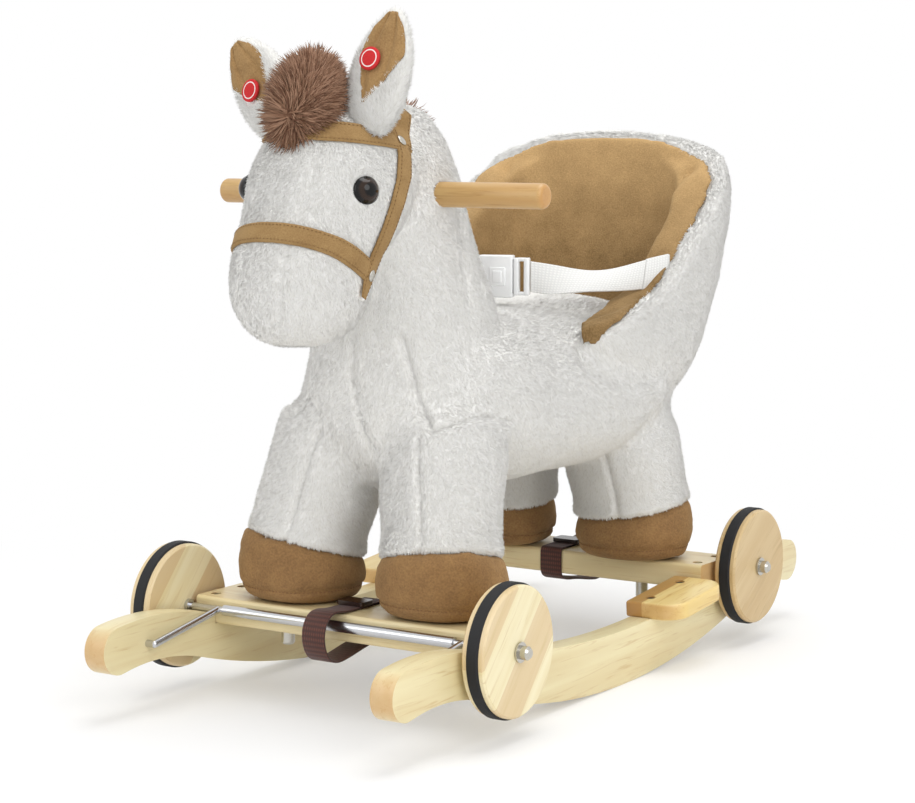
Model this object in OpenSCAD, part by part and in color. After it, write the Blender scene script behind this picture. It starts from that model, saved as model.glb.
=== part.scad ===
// Rocking and rolling plush horse: wooden rockers with two swinging wheel carriages,
// a stuffed horse on two crossbars, a padded bucket seat and a lap belt.
// +Z is up, the horse faces -Y, its left side is +X, the origin lies on the floor under its middle.

/* [Rockers] */
// Length of a rocker from nose to nose
rocker_l = 680; // [640:1:720]
// Thickness of a rocker board
rocker_t = 20; // [17:0.5:24]
// Distance between the middle planes of the rockers
rocker_track = 272; // [262:1:290]
// Depth of a rocker at its middle
rocker_depth = 46; // [40:1:52]
// Radius of the sole that rolls on the floor
sole_r = 780; // [740:5:840]
// Length of floor line that the sole's arc covers, from the middle
sole_run = 222; // [210:1:230]
// Radius of the hollow top edge
top_r = 1050; // [1000:5:1150]
// Length of the hollow top edge, from the middle
top_run = 225; // [215:1:232]
// Radius of the swell on top of each end
hump_r = 284; // [260:1:310]
// Radius of the rounded nose
nose_r = 19; // [16:0.5:21]

/* [Crossbars and footrests] */
// Width of a crossbar, front to rear
bar_w = 62; // [54:1:70]
// Thickness of a crossbar
bar_t = 22; // [18:0.5:26]
// Distance of a crossbar's middle from the middle of the toy
bar_y = 171; // [168:0.5:173]
// Height of the flat seats that carry the crossbars
bar_z = 56.5; // [54:0.5:58]
// Rounding of the crossbar's long edges
bar_edge_r = 3; // [1:0.5:5]
// Length of a footrest along the rocker
foot_l = 90; // [80:1:91]
// Width of a footrest
foot_w = 52; // [44:1:56]
// Thickness of a footrest
foot_t = 14; // [11:0.5:18]
// Distance of a footrest's middle behind the middle of the toy
foot_y = 94; // [86:1:94]
// How far a footrest reaches inside the rocker's inner face
foot_inset = 5; // [2:0.5:12]
// Rounding of a footrest's outer corners
foot_corner_r = 20; // [10:1:24]

/* [Wheels and carriages] */
// Diameter of a wooden wheel
wheel_d = 102; // [94:1:106]
// Thickness of a wheel
wheel_t = 20; // [18:0.5:24]
// Width of the rubber band in the wheel's rim
tyre_w = 10.5; // [8:0.5:13]
// How far the rubber band stands proud of the rim
tyre_proud = 1.5; // [0.5:0.25:2.5]
// Depth of the groove that holds the rubber band
tyre_seat = 5; // [3:0.5:7]
// Gap between a rocker's outer face and a wheel
wheel_gap = 5; // [4.6:0.1:8]
// Diameter of the axle rod
axle_d = 6; // [5:0.25:6.2]
// Diameter of the sleeve between the crank arms
sleeve_d = 9; // [8:0.25:9.2]
// Distance of an axle from the middle of the toy
axle_y = 207; // [206.8:0.1:208]
// Height of an axle in its raised place
axle_z = 70; // [69.8:0.1:72]
// Distance of a crank arm's pivot from the middle of the toy
pivot_y = 288; // [284:0.5:292]
// Height of a crank arm's pivot
pivot_z = 56; // [54:0.5:58]
// Diameter of a crank arm's rod
crank_d = 6; // [5:0.25:7]
// How deep a crank arm's pin sits in the rocker
crank_pin_l = 14; // [10:0.5:16]

/* [Plush horse] */
// Length of the body
body_l = 400; // [380:1:420]
// Width of the body
body_w = 244; // [230:1:256]
// Height of the body
body_h = 150; // [140:1:158]
// Height of the body's long axis
body_z = 240; // [234:1:246]
// Width of the neck at the shoulders
neck_w = 168; // [156:1:176]
// Depth of the neck at the shoulders
neck_d = 168; // [160:1:176]
// Height of the neck's top
neck_top = 488; // [478:1:496]
// Width of the head
head_w = 132; // [124:1:140]
// Depth of the head
head_d = 156; // [148:1:164]
// Height of the head's top
head_top = 490; // [486:1:496]
// Height of the chin
chin_z = 296; // [290:1:302]
// Width of a leg at the hoof
leg_w = 102; // [94:1:106]
// Width of a hoof
hoof_w = 107; // [100:1:110]
// Depth of a hoof
hoof_d = 100; // [92:1:101]
// Height of a hoof
hoof_h = 48; // [42:1:54]
// Length of an ear
ear_l = 88; // [80:1:94]
// Width of an ear
ear_w = 50; // [46:1:56]
// Thickness of an ear
ear_t = 20; // [18:0.5:24]
// Lean of the left ear to its side, in degrees
left_ear_lean = 5; // [0:1:12]
// Lean of the right ear to its side, in degrees
right_ear_lean = 42; // [34:1:46]
// Diameter of an eye
eye_d = 20; // [18:0.5:24]

/* [Handle] */
// Length of the handle dowel
handle_l = 312; // [290:1:340]
// Diameter of the handle dowel
handle_d = 20; // [17:0.5:24]
// Distance of the handle in front of the middle of the toy
handle_y = 145; // [140:0.5:150]
// Height of the handle
handle_z = 411; // [400:0.5:418]

/* [Seat] */
// Width of the bucket seat over its sides
seat_w = 290; // [280:1:298]
// Depth of the bucket seat from its middle to its back
seat_d = 131; // [126:1:136]
// Height of the backrest's rim
seat_top = 464; // [456:1:472]
// Thickness of the padded wall
seat_wall = 40; // [36:1:44]
// Thickness of the suede lining
lining_t = 5; // [3:0.5:6]
// Width of the white border outside the lining on the wings' edges
border_w = 18; // [12:0.5:24]
// How far the rim falls towards its corners
rim_fall = 30; // [20:1:40]
// Width of the belt webbing
belt_w = 26; // [22:0.5:30]
// Thickness of the belt webbing
belt_t = 1.8; // [1.2:0.1:2.4]

/* [Hidden] */
$fn = 96;

// overrun of every cut past the face that it opens
overrun = 4;
// running clearance of a rod in its bore, on the radius
run_fit = 0.05;
// clearance between neighbouring stuffed or sewn pieces
seam_gap = 0.3;
// clearance of the wooden core in the stuffing
core_gap = 0.4;
// end play of a wheel between its collar and its cap
end_play = 0.4;

// wood screws
screw_head_r = 4.4;
screw_head_h = 2.6;
screw_shank_r = 2;
screw_l = 34;
screw_sink = 1.2;
bar_screw_pitch = 35;
foot_screw_pitch = 54;

// leg bolts and their sleeve nuts
bolt_r = 3;
bolt_grip = 26;
nut_flange_r = 8;
nut_flange_t = 1.6;
nut_r = 5.6;
nut_l = 17;
nut_end_r = 4.2;
nut_end_l = 1.6;

// crank arms, axles and caps
crank_gap = 4;
sleeve_gap = 3.5;
collar_r = 5.6;
collar_w = 3;
cap_flange_r = 8;
cap_flange_t = 1.4;
cap_r = 5.4;
cap_l = 9;
cap_end_r = 3.8;
cap_end_l = 1.8;
cap_wall = 1.5;
wheel_chamfer = 1.6;
tyre_chamfer = 1.2;

// webbing straps that hold the carriages
strap_x = 7;
strap_w = 25;
strap_t = 1.8;
strap_slack = 6;
strap_sag = 12;
slider_w = 26;
slider_l = 17;
slider_t = 3.6;
slider_r = 3;

// wooden core
board_w = 144;
board_front = 160;
board_rear = 175;
board_t = 14;
board_z = 236;
board_corner_r = 30;
post_w = 24;
neck_board_w = 20;
neck_board_d = 50;
neck_board_h = 196;
handle_edge_r = 4;
panel_w = 150;
panel_h = 150;
panel_t = 10;
panel_y = 228;
panel_z = 345;
panel_lean = 12;
panel_corner_r = 12;

// places of the stuffed pieces
body_y = 10;
neck_foot = 225;
neck_y = 100;
neck_reach = 70;
head_y = 187;
muzzle_reach = 71;
front_hoof_x = 68.5;
front_hoof_y = 158.5;
front_hip_x = 46;
front_hip_y = 127;
rear_hoof_x = 71;
rear_hoof_y = 154;
rear_hip_x = 55;
rear_hip_y = 136;
rear_leg_extra = 3;
hip_z = 235;
leg_top = 250;
ankle_z = 118;

// forms of the stuffed pieces, each row a ring: place along, shift, width, height or depth
body_shares = [[0.5, 0, 0.30, 0.35], [0.47, 0, 0.62, 0.66], [0.40, 0, 0.88, 0.90], [0.28, 0, 1, 1],
    [0.12, 0, 0.99, 0.98], [-0.05, -0.01, 0.94, 0.96], [-0.20, 0, 0.88, 1], [-0.32, 0.02, 0.78, 1.02],
    [-0.41, 0.03, 0.64, 0.92], [-0.47, 0.03, 0.44, 0.68], [-0.5, 0.03, 0.22, 0.34]];
neck_shares = [[0, 0, 1, 0.95], [0.15, 0.06, 1, 1], [0.30, 0.19, 0.92, 0.95], [0.46, 0.34, 0.82, 0.87],
    [0.61, 0.5, 0.75, 0.83], [0.74, 0.63, 0.73, 0.81], [0.86, 0.77, 0.70, 0.74], [0.95, 0.91, 0.60, 0.60],
    [1, 1, 0.33, 0.33]];
head_shares = [[0, 0.94, 0.24, 0.21], [0.026, 0.94, 0.48, 0.41], [0.083, 0.94, 0.65, 0.58],
    [0.167, 0.94, 0.77, 0.67], [0.266, 0.915, 0.80, 0.72], [0.37, 0.79, 0.83, 0.77],
    [0.469, 0.52, 0.91, 0.86], [0.568, 0.31, 0.97, 0.92], [0.667, 0.17, 0.985, 0.975],
    [0.766, 0.085, 0.925, 0.935], [0.854, 0.04, 0.80, 0.81], [0.927, 0.015, 0.62, 0.615],
    [0.969, 0, 0.42, 0.42], [1, 0, 0.20, 0.19]];
leg_shares = [[0, 0.95, 0.92], [0.11, 0.96, 0.94], [0.35, 1, 0.98], [0.635, 1.04, 1.04], [0.88, 1.02, 1.02],
    [1, 0.78, 0.78]];
hoof_shares = [[0, 0.71, 0.72], [0.08, 0.86, 0.86], [0.24, 0.955, 0.96], [0.5, 1, 1], [0.79, 0.98, 0.99],
    [1, 0.93, 0.96]];
ear_shares = [[-0.16, 0.40, 0.55], [0, 0.76, 0.9], [0.12, 0.93, 1], [0.35, 1, 1], [0.6, 0.93, 0.95],
    [0.82, 0.63, 0.75], [0.94, 0.36, 0.55], [1, 0.12, 0.3]];
tuft_shares = [[0, 0.20, 0.20], [0.08, 0.58, 0.58], [0.28, 0.92, 0.92], [0.52, 1, 1], [0.76, 0.86, 0.86],
    [0.93, 0.50, 0.50], [1, 0.18, 0.18]];
mane_shares = [[0, 0, 0.35, 0.35], [0.08, 0.05, 0.7, 0.6], [0.30, 0.28, 0.85, 0.7], [0.55, 0.55, 1, 0.8],
    [0.78, 0.78, 1.05, 1], [0.93, 0.96, 0.8, 0.8], [1, 1.02, 0.4, 0.4]];
tail_shares = [[0, 1, 0.25, 0.3], [0.08, 1, 0.7, 0.7], [0.35, 0.9, 1, 1], [0.65, 0.55, 0.9, 0.9],
    [0.9, 0.12, 0.6, 0.7], [1, 0, 0.4, 0.5]];
body_power = 2.3;
limb_power = 2.2;
seat_power = 3.6;
form_sides = 28;
limb_sides = 22;
ear_sides = 18;
tuft_sides = 16;
seat_sides = 32;

// ears
ear_x = 45;
ear_y = 218;
ear_z = 468;
ear_back = 15;
ear_skin_t = 1.8;
ear_skin_wide_share = 0.74;
button_r = 9.2;
button_t = 3;
button_proud = 0.6;
button_travel = 1.3;
puck_r = 8;
puck_t = 4.5;
left_button_shares = [-0.30, 0.52];
right_button_shares = [-0.12, 0.38];

// forelock, mane and tail
forelock_y = 236;
forelock_z = 450;
forelock_h = 73;
forelock_w = 58;
forelock_d = 62;
mane_foot = 330;
mane_h = 158;
mane_y = 44;
mane_reach = 66;
mane_w = 38;
mane_d = 44;
tail_foot = 176;
tail_h = 130;
tail_y = 238;
tail_out = 14;
tail_w = 44;
tail_d = 40;

// bridle straps of the head, in the side view: ends of each strap over the head's depth and height
bridle_t = 2.2;
bridle_w = 16;
crown_w = 20;
brow_shares = [[-0.02, 0.81], [0.64, 0.885]];
cheek_shares = [[0.34, 0.20], [0.01, 0.87]];
crown_shares = [[0.03, 0.81], [-0.13, 1.10]];
nose_shares = [[0.27, 0.275], [0.87, 0.525]];
rivet_r = 4.6;
rivet_proud = 1.6;
nose_rivet_shares = [0.30, 0.29];
brow_rivet_shares = [0.045, 0.815];
nose_rivet_x = 53;
brow_rivet_x = 61;
eye_x = 53;
eye_y = 240;
eye_z = 416;

// bucket seat
seat_y = 95;
seat_lean = 42;
seat_foot = 205;
seat_shares = [[0, 0, 0.745, 0.725], [0.135, 0.214, 0.828, 0.855], [0.29, 0.405, 0.897, 0.931],
    [0.483, 0.595, 0.959, 0.977], [0.676, 0.786, 1, 1], [0.83, 0.905, 0.993, 0.992],
    [0.938, 0.976, 0.924, 0.947], [1, 1, 0.772, 0.824]];
cavity_shares = [[0, 0, 0.72, 0.70], [0.29, 0.405, 0.86, 0.87], [0.483, 0.595, 0.94, 0.95],
    [0.676, 0.786, 1, 1], [0.83, 0.905, 1, 1], [1.05, 1, 1, 1]];
mouth_share = 1;
edge_shares = [[2.3, -0.1], [-0.31, -0.1], [-0.31, 0.293], [-0.176, 0.313], [0.19, 0.367], [0.725, 0.459],
    [1.145, 0.66], [1.64, 0.876], [1.77, 1.1], [2.3, 1.1]];
edge_lean = 52;

// lap belt and its buckle
belt_z = 337;
belt_front = 5;
belt_half = 112;
belt_sweep = 100;
belt_steps = 12;
buckle_span = 42;
buckle_h = 36;
buckle_t = 12;
socket_l = 30;
slot_wall = 3;
tongue_l = 20;
tongue_t = 4;
tongue_h = 24;
shoulder_h = 32;
shoulder_t = 9;
tongue_gap = 0.4;

// derived places
rocker_x = rocker_track / 2;
rocker_in = rocker_x - rocker_t / 2;
rocker_out = rocker_x + rocker_t / 2;
wheel_in = rocker_out + wheel_gap;
wheel_out = wheel_in + wheel_t;
crank_x = rocker_in - crank_gap - crank_d / 2;
sleeve_half = crank_x - crank_d / 2 - sleeve_gap;
axle_half = wheel_out + end_play + cap_l - cap_wall;
bar_top = bar_z + bar_t;
bar_l = rocker_track + rocker_t;
hoof_top = bar_top + hoof_h;
leg_foot = hoof_top + seam_gap;
board_top = board_z + board_t;
foot_z = rocker_depth + top_r - sqrt(top_r * top_r - foot_y * foot_y);
foot_slope = asin(foot_y / top_r);
foot_x = rocker_in - foot_inset + foot_w / 2;
sole_angle = asin(sole_run / sole_r);
sole_end = [sole_run, sole_r * (1 - cos(sole_angle))];
top_angle = asin(top_run / top_r);
top_end = [top_run, rocker_depth + top_r * (1 - cos(top_angle))];
hump = top_end + hump_r * [sin(top_angle), -cos(top_angle)];
nose_y = rocker_l / 2 - nose_r;
nose = [nose_y, hump.y + sqrt(pow(hump_r - nose_r, 2) - pow(nose_y - hump.x, 2))];
sole_out = [sin(sole_angle), -cos(sole_angle)];
to_nose = nose - sole_end;
waist_r = (to_nose * to_nose - nose_r * nose_r) / (2 * (nose_r + to_nose * sole_out));
waist = sole_end + waist_r * sole_out;
nose_low = nose + nose_r * (waist - nose) / norm(waist - nose);
nose_high = nose + nose_r * (nose - hump) / norm(nose - hump);
belt_curve = belt_sweep / (belt_half * belt_half);
buckle_turn = atan(belt_curve * buckle_span);
buckle_l = buckle_span / cos(buckle_turn);
shoulder_l = buckle_l - socket_l - tongue_gap;
rim_r = (pow(seat_w / 2, 2) + rim_fall * rim_fall) / (2 * rim_fall);

// superellipse ring about a centre, leaning about X: 0 lies flat, 90 stands across the body
function oval(n, p) = [for (i = [0 : n - 1]) let (t = 360 * i / n)
    [sign(cos(t)) * pow(abs(cos(t)), 2 / p), sign(sin(t)) * pow(abs(sin(t)), 2 / p)]];
function ring(c, a, b, lean, n, p) = [for (q = oval(n, p))
    [c.x + a * q.x, c.y + b * q.y * cos(lean), c.z + b * q.y * sin(lean)]];
// growth along the stack: full at both ends and little between
function end_growth(share, grow) = grow * pow(2 * share - 1, 3);

function body_rings(grow) = [for (s = body_shares)
    ring([0, body_y + s[0] * body_l - end_growth(0.5 - s[0], grow), body_z + s[1] * body_h],
        s[2] * body_w / 2 + grow, s[3] * body_h / 2 + grow, 90, form_sides, body_power)];
function neck_rings(grow) = [for (s = neck_shares)
    let (z = neck_foot + s[0] * (neck_top - neck_foot) + end_growth(s[0], grow))
    ring([0, -neck_y - s[1] * neck_reach, z], s[2] * neck_w / 2 + grow,
        s[3] * neck_d / 2 + grow, 0, form_sides, body_power)];
function head_rings(grow) = [for (s = head_shares)
    let (z = chin_z + s[0] * (head_top - chin_z) + end_growth(s[0], grow))
    ring([0, -head_y - s[1] * muzzle_reach, z], s[2] * head_w / 2 + grow,
        s[3] * head_d / 2 + grow, 0, form_sides, body_power)];

// line that a leg's middle follows from its hoof to its hip, at a height
function leg_middle(side, dir, z) = let (t = (z - ankle_z) / (hip_z - ankle_z))
    dir < 0 ? [side * (front_hoof_x + t * (front_hip_x - front_hoof_x)),
        -front_hoof_y - t * (front_hip_y - front_hoof_y), z]
    : [side * (rear_hoof_x + t * (rear_hip_x - rear_hoof_x)),
        rear_hoof_y + t * (rear_hip_y - rear_hoof_y), z];
function leg_rings(side, dir) = [for (s = leg_shares)
    let (z = leg_foot + s[0] * (leg_top - leg_foot), extra = dir < 0 ? 0 : rear_leg_extra)
    ring(leg_middle(side, dir, z), s[1] * leg_w / 2 + extra, s[2] * leg_w / 2 + extra, 0,
        limb_sides, limb_power)];
function hoof_rings(side, dir) = [for (s = hoof_shares)
    ring([side * (dir < 0 ? front_hoof_x : rear_hoof_x), dir < 0 ? -front_hoof_y : rear_hoof_y,
        bar_top + s[0] * hoof_h], s[1] * hoof_w / 2, s[2] * hoof_d / 2, 0, limb_sides, limb_power)];
function ear_rings(grow, wide, deep) = [for (s = ear_shares)
    ring([0, 0, s[0] * ear_l + end_growth(s[0], grow)], wide * s[1] * ear_w / 2 + grow,
        deep * s[2] * ear_t / 2 + grow, 0, ear_sides, limb_power)];
function forelock_rings() = [for (s = tuft_shares)
    ring([0, -forelock_y, forelock_z + s[0] * forelock_h], s[1] * forelock_w / 2, s[2] * forelock_d / 2, 0,
        tuft_sides, limb_power)];
function mane_rings() = [for (s = mane_shares)
    ring([0, -mane_y - s[1] * mane_reach, mane_foot + s[0] * mane_h], s[2] * mane_w / 2,
        s[3] * mane_d / 2, 0, tuft_sides, limb_power)];
function tail_rings() = [for (s = tail_shares)
    ring([0, tail_y + s[1] * tail_out, tail_foot + s[0] * tail_h], s[2] * tail_w / 2, s[3] * tail_d / 2, 0,
        tuft_sides, limb_power)];
function seat_rings(grow) = [for (s = seat_shares)
    ring([0, seat_y + s[1] * seat_lean, seat_foot + s[0] * (seat_top - seat_foot) + end_growth(s[0], grow)],
        s[2] * seat_w / 2 + grow, s[3] * seat_d + grow, 0, seat_sides, seat_power)];
function cavity_rings(wall) = [for (s = cavity_shares)
    ring([0, seat_y + s[1] * seat_lean, seat_foot + s[0] * (seat_top - seat_foot)],
        s[2] * (seat_w / 2 - wall), s[3] * (seat_d - wall), 0, seat_sides, seat_power)];
function belt_y(x) = belt_front + belt_curve * x * x;
function face_point(q) = [-head_y - q[0] * head_d, chin_z + q[1] * (head_top - chin_z)];

// closed skin over a stack of rings
module loft(rings) {
    n = len(rings[0]);
    m = len(rings);
    sides = [for (i = [0 : m - 2], j = [0 : n - 1], k = [0 : 1])
        let (p = i * n + j, q = i * n + (j + 1) % n)
        k == 0 ? [p, p + n, q + n] : [p, q + n, q]];
    low = [for (j = [1 : n - 2]) [0, j, j + 1]];
    high = [for (j = [1 : n - 2]) [(m - 1) * n, (m - 1) * n + j + 1, (m - 1) * n + j]];
    polyhedron([for (r = rings, v = r) v], concat(sides, low, high), convexity = 4);
}

// flat outline with round corners about the origin
module rounded(w, l, r) {
    square([w - 2 * r, l], center = true);
    square([w, l - 2 * r], center = true);
    for (x = [-1, 1], y = [-1, 1])
        translate([x * (w / 2 - r), y * (l / 2 - r)])
            circle(r);
}

// outline drawn in Y and Z, given a width along X
module across(w) {
    rotate([90, 0, 90])
        linear_extrude(w, center = true)
            children();
}

// rod between two points
module rod(p, q, r) {
    d = q - p;
    translate(p)
        rotate([0, acos(d.z / norm(d)), atan2(d.y, d.x)])
            cylinder(h = norm(d), r = r);
}

// turned piece on an axis along X, its outline given as radius and place
module turned(outline) {
    rotate([0, 90, 0])
        rotate_extrude()
            polygon(outline);
}

// front of the toy from what is drawn for the rear
module end(dir) {
    mirror([0, dir < 0 ? 1 : 0, 0])
        children();
}

// rear half of a rocker's outline: sole, waist, nose, swell and hollow top run into each other
module rocker_half() {
    difference() {
        intersection() {
            translate([0, sole_r])
                circle(sole_r, $fn = 360);
            square([sole_run, rocker_l]);
        }
        translate([0, rocker_depth + top_r])
            circle(top_r, $fn = 360);
    }
    difference() {
        intersection() {
            translate(hump)
                circle(hump_r, $fn = 360);
            polygon([[sole_run, 0], nose_low, nose, nose_high, [nose_high.x, rocker_l],
                [sole_run, rocker_l]]);
        }
        translate(waist)
            circle(waist_r, $fn = 360);
        translate([0, rocker_depth + top_r])
            circle(top_r, $fn = 360);
    }
    translate(nose)
        circle(nose_r);
}

// countersunk screw under the face at the origin, and the hole for it
module screw_at(extra) {
    translate([0, 0, -screw_sink - screw_head_h])
        cylinder(h = screw_head_h, r1 = screw_shank_r + extra, r2 = screw_head_r + extra);
    translate([0, 0, -screw_sink - screw_l - extra])
        cylinder(h = screw_l - screw_head_h + extra, r = screw_shank_r + extra);
}

module screw_hole() {
    screw_at(run_fit);
    translate([0, 0, -screw_sink])
        cylinder(h = screw_sink + overrun, r = screw_head_r + run_fit);
}

module at_bar_screws(dir, side) {
    for (k = [-1, 1])
        translate([side * rocker_x, dir * bar_y + k * bar_screw_pitch / 2, bar_top])
            children();
}

module at_footrest(side) {
    translate([side * foot_x, foot_y, foot_z])
        rotate([foot_slope, 0, 0])
            children();
}

module at_foot_screws(side) {
    for (k = [-1, 1])
        at_footrest(side)
            translate([side * (rocker_x - foot_x), k * foot_screw_pitch / 2, foot_t])
                children();
}

module footrest_slab(side, extra) {
    translate([0, 0, -extra])
        linear_extrude(foot_t + 2 * extra) {
            rounded(foot_w, foot_l, foot_corner_r);
            translate([-side * foot_corner_r / 2, 0])
                square([foot_w - foot_corner_r, foot_l], center = true);
        }
}

module rocker(side) {
    difference() {
        translate([side * rocker_x, 0, 0])
            across(rocker_t) {
                rocker_half();
                mirror([1, 0])
                    rocker_half();
            }
        for (dir = [-1, 1]) {
            translate([side * rocker_x, dir * bar_y, bar_z + rocker_l / 2])
                cube([rocker_t + 2 * overrun, bar_w + 2 * seam_gap, rocker_l], center = true);
            translate([side * (rocker_in - overrun), dir * pivot_y, pivot_z])
                rotate([0, side * 90, 0])
                    cylinder(h = overrun + crank_pin_l + end_play, r = crank_d / 2 + run_fit);
            at_bar_screws(dir, side)
                screw_at(run_fit);
        }
        at_footrest(side)
            translate([0, 0, foot_t])
                cube([2 * foot_w, foot_l + 2 * seam_gap, 2 * foot_t], center = true);
        at_foot_screws(side)
            screw_at(run_fit);
    }
}

module crossbar(dir) {
    difference() {
        translate([0, dir * bar_y, bar_z + bar_t / 2])
            across(bar_l)
                rounded(bar_w, bar_t, bar_edge_r);
        for (side = [-1, 1]) {
            at_bar_screws(dir, side)
                screw_hole();
            leg_bolt(side, dir);
        }
    }
}

module footrest(side) {
    difference() {
        at_footrest(side)
            footrest_slab(side, 0);
        at_foot_screws(side)
            screw_hole();
    }
}

// leg bolt from its sleeve nut up into the post
module leg_bolt(side, dir) {
    f = leg_middle(side, dir, bar_top);
    translate([f.x, f.y, bar_z - nut_l + nut_end_l])
        cylinder(h = nut_l - nut_end_l + bar_t + bolt_grip, r = bolt_r);
}

module leg_cap_nut(side, dir) {
    f = leg_middle(side, dir, bar_top);
    difference() {
        translate([f.x, f.y, bar_z - nut_l]) {
            cylinder(h = nut_end_l, r1 = nut_end_r, r2 = nut_r);
            translate([0, 0, nut_end_l])
                cylinder(h = nut_l - nut_end_l, r = nut_r);
            translate([0, 0, nut_l - nut_flange_t])
                cylinder(h = nut_flange_t, r = nut_flange_r);
        }
        leg_bolt(side, dir);
    }
}

// square post in a leg, on the leg's own slant, cut level at the crossbar and under the seat board
module leg_post(side, dir, extra) {
    p = leg_middle(side, dir, bar_z);
    d = leg_middle(side, dir, board_top) - p;
    intersection() {
        translate(p)
            rotate([0, acos(d.z / norm(d)), atan2(d.y, d.x)])
                translate([0, 0, norm(d) / 2])
                    cube([post_w + 2 * extra, post_w + 2 * extra, norm(d)], center = true);
        translate([0, 0, (bar_top + board_z) / 2])
            cube([rocker_l, rocker_l, board_z - bar_top + 2 * extra], center = true);
    }
}

module each_leg() {
    for ($side = [-1, 1], $dir = [-1, 1])
        children();
}

module seat_board_solid(extra) {
    translate([0, (board_rear - board_front) / 2, board_z - extra])
        linear_extrude(board_t + 2 * extra)
            rounded(board_w + 2 * extra, board_front + board_rear + 2 * extra, board_corner_r);
}

module neck_board_solid(extra) {
    translate([0, -handle_y, board_top + neck_board_h / 2])
        cube([neck_board_w + 2 * extra, neck_board_d + 2 * extra, neck_board_h + 2 * extra], center = true);
}

module back_panel_solid(extra) {
    translate([0, panel_y, panel_z])
        rotate([90 - panel_lean, 0, 0])
            linear_extrude(panel_t + 2 * extra, center = true)
                rounded(panel_w + 2 * extra, panel_h + 2 * extra, panel_corner_r);
}

module handle_solid(extra) {
    translate([0, -handle_y, handle_z])
        rotate([0, 90, 0])
            cylinder(h = handle_l, r = handle_d / 2 + extra, center = true);
}

// ear in its own frame: length along Z, front towards -Y
module at_ear(side) {
    lean = side > 0 ? left_ear_lean : right_ear_lean;
    translate([side * ear_x, -ear_y, ear_z])
        rotate([-ear_back, side * lean, 0])
            children();
}

// middle of the press button on the front of an ear
module at_button(side) {
    s = side > 0 ? left_button_shares : right_button_shares;
    at_ear(side)
        translate([s[0] * ear_w / 2, -ear_t / 2, s[1] * ear_l])
            rotate([-90, 0, 0])
                children();
}

button_pocket = button_t - button_proud + button_travel + seam_gap;

module button_pocket_cut(side) {
    at_button(side)
        translate([0, 0, -overrun])
            cylinder(h = overrun + button_pocket, r = button_r + seam_gap);
}

module puck(side, extra) {
    at_button(side)
        translate([0, 0, button_pocket - extra])
            cylinder(h = puck_t + 2 * extra, r = puck_r + extra);
}

module ear(side) {
    difference() {
        at_ear(side)
            loft(ear_rings(0, 1, 1));
        loft(head_rings(seam_gap));
        bridle_room();
        button_pocket_cut(side);
        puck(side, seam_gap);
    }
}

// thin suede front of an ear
module ear_lining(side) {
    difference() {
        at_ear(side)
            intersection() {
                loft(ear_rings(ear_skin_t, 1, 1));
                loft(ear_rings(0, ear_skin_wide_share, 2));
                translate([0, -ear_w, 0])
                    cube(2 * [ear_w, ear_w, ear_l], center = true);
            }
        at_ear(side)
            loft(ear_rings(seam_gap, 1, 1));
        button_pocket_cut(side);
    }
}

module ear_button(side) {
    at_button(side)
        translate([0, 0, -button_proud])
            cylinder(h = button_t, r = button_r);
}

// straight strap in the side view between two points of the face
module strap_band(ends, w) {
    p = face_point(ends[0]);
    q = face_point(ends[1]);
    across(2 * head_w)
        translate(p)
            rotate(atan2(q.y - p.y, q.x - p.x))
                translate([0, -w / 2])
                    square([norm(q - p), w]);
}

module headstall_bands(extra) {
    strap_band(brow_shares, bridle_w + 2 * extra);
    strap_band(cheek_shares, bridle_w + 2 * extra);
    strap_band(crown_shares, crown_w + 2 * extra);
}

// room that the straps take from what grows out of the head
module bridle_room() {
    intersection() {
        loft(head_rings(bridle_t + 2 * seam_gap));
        headstall_bands(seam_gap);
    }
}

// sheet that lies on the head and on the top of the neck
module face_skin() {
    difference() {
        union() {
            loft(head_rings(bridle_t + seam_gap));
            loft(neck_rings(bridle_t + seam_gap));
        }
        loft(head_rings(seam_gap));
        loft(neck_rings(seam_gap));
    }
}

module rivet(place, x, side) {
    p = face_point(place);
    translate([0, p.x, p.y])
        rotate([0, side * 90, 0])
            cylinder(h = x + bridle_t + rivet_proud, r = rivet_r);
}

// bucket seat: everything under the edge line in the side view and under the arched rim
module seat_limits(shift) {
    intersection() {
        across(2 * seat_w)
            translate([shift * sin(edge_lean), -shift * cos(edge_lean)])
                polygon([for (s = edge_shares) [s[0] * seat_d, seat_foot + s[1] * (seat_top - seat_foot)]]);
        translate([0, 0, seat_top - rim_r])
            rotate([90, 0, 0])
                cylinder(h = 2 * rocker_l, r = rim_r, center = true, $fn = 360);
    }
}

module seat_cavity(wall) {
    loft(cavity_rings(wall));
    translate([0, -mouth_share * (seat_d - wall), 0])
        loft(cavity_rings(wall));
}

module belt_band(from, to) {
    steps = [for (i = [0 : belt_steps]) from + (to - from) * i / belt_steps];
    back = [for (i = [belt_steps : -1 : 0]) from + (to - from) * i / belt_steps];
    translate([0, 0, belt_z])
        linear_extrude(belt_w, center = true)
            polygon(concat([for (x = steps) [x, belt_y(x) - belt_t / 2]],
                [for (x = back) [x, belt_y(x) + belt_t / 2]]));
}

// buckle in its own frame: belt along X, the socket's mouth at the origin
module at_buckle() {
    translate([0, belt_y(0), belt_z])
        rotate([0, 0, buckle_turn])
            translate([socket_l, 0, 0])
                children();
}

// band round the crossbar and the sleeve, hanging slack below
module strap_loop() {
    low = bar_z - strap_sag;
    high = bar_top + seam_gap;
    near = bar_y - bar_w / 2 - seam_gap;
    far = axle_y + sleeve_d / 2 + strap_slack;
    translate([-strap_x, (near + far) / 2, (low + high) / 2])
        across(strap_w)
            difference() {
                rounded(far - near + 2 * strap_t, high - low + 2 * strap_t, bar_edge_r + strap_t);
                rounded(far - near, high - low, bar_edge_r);
            }
}

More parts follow.
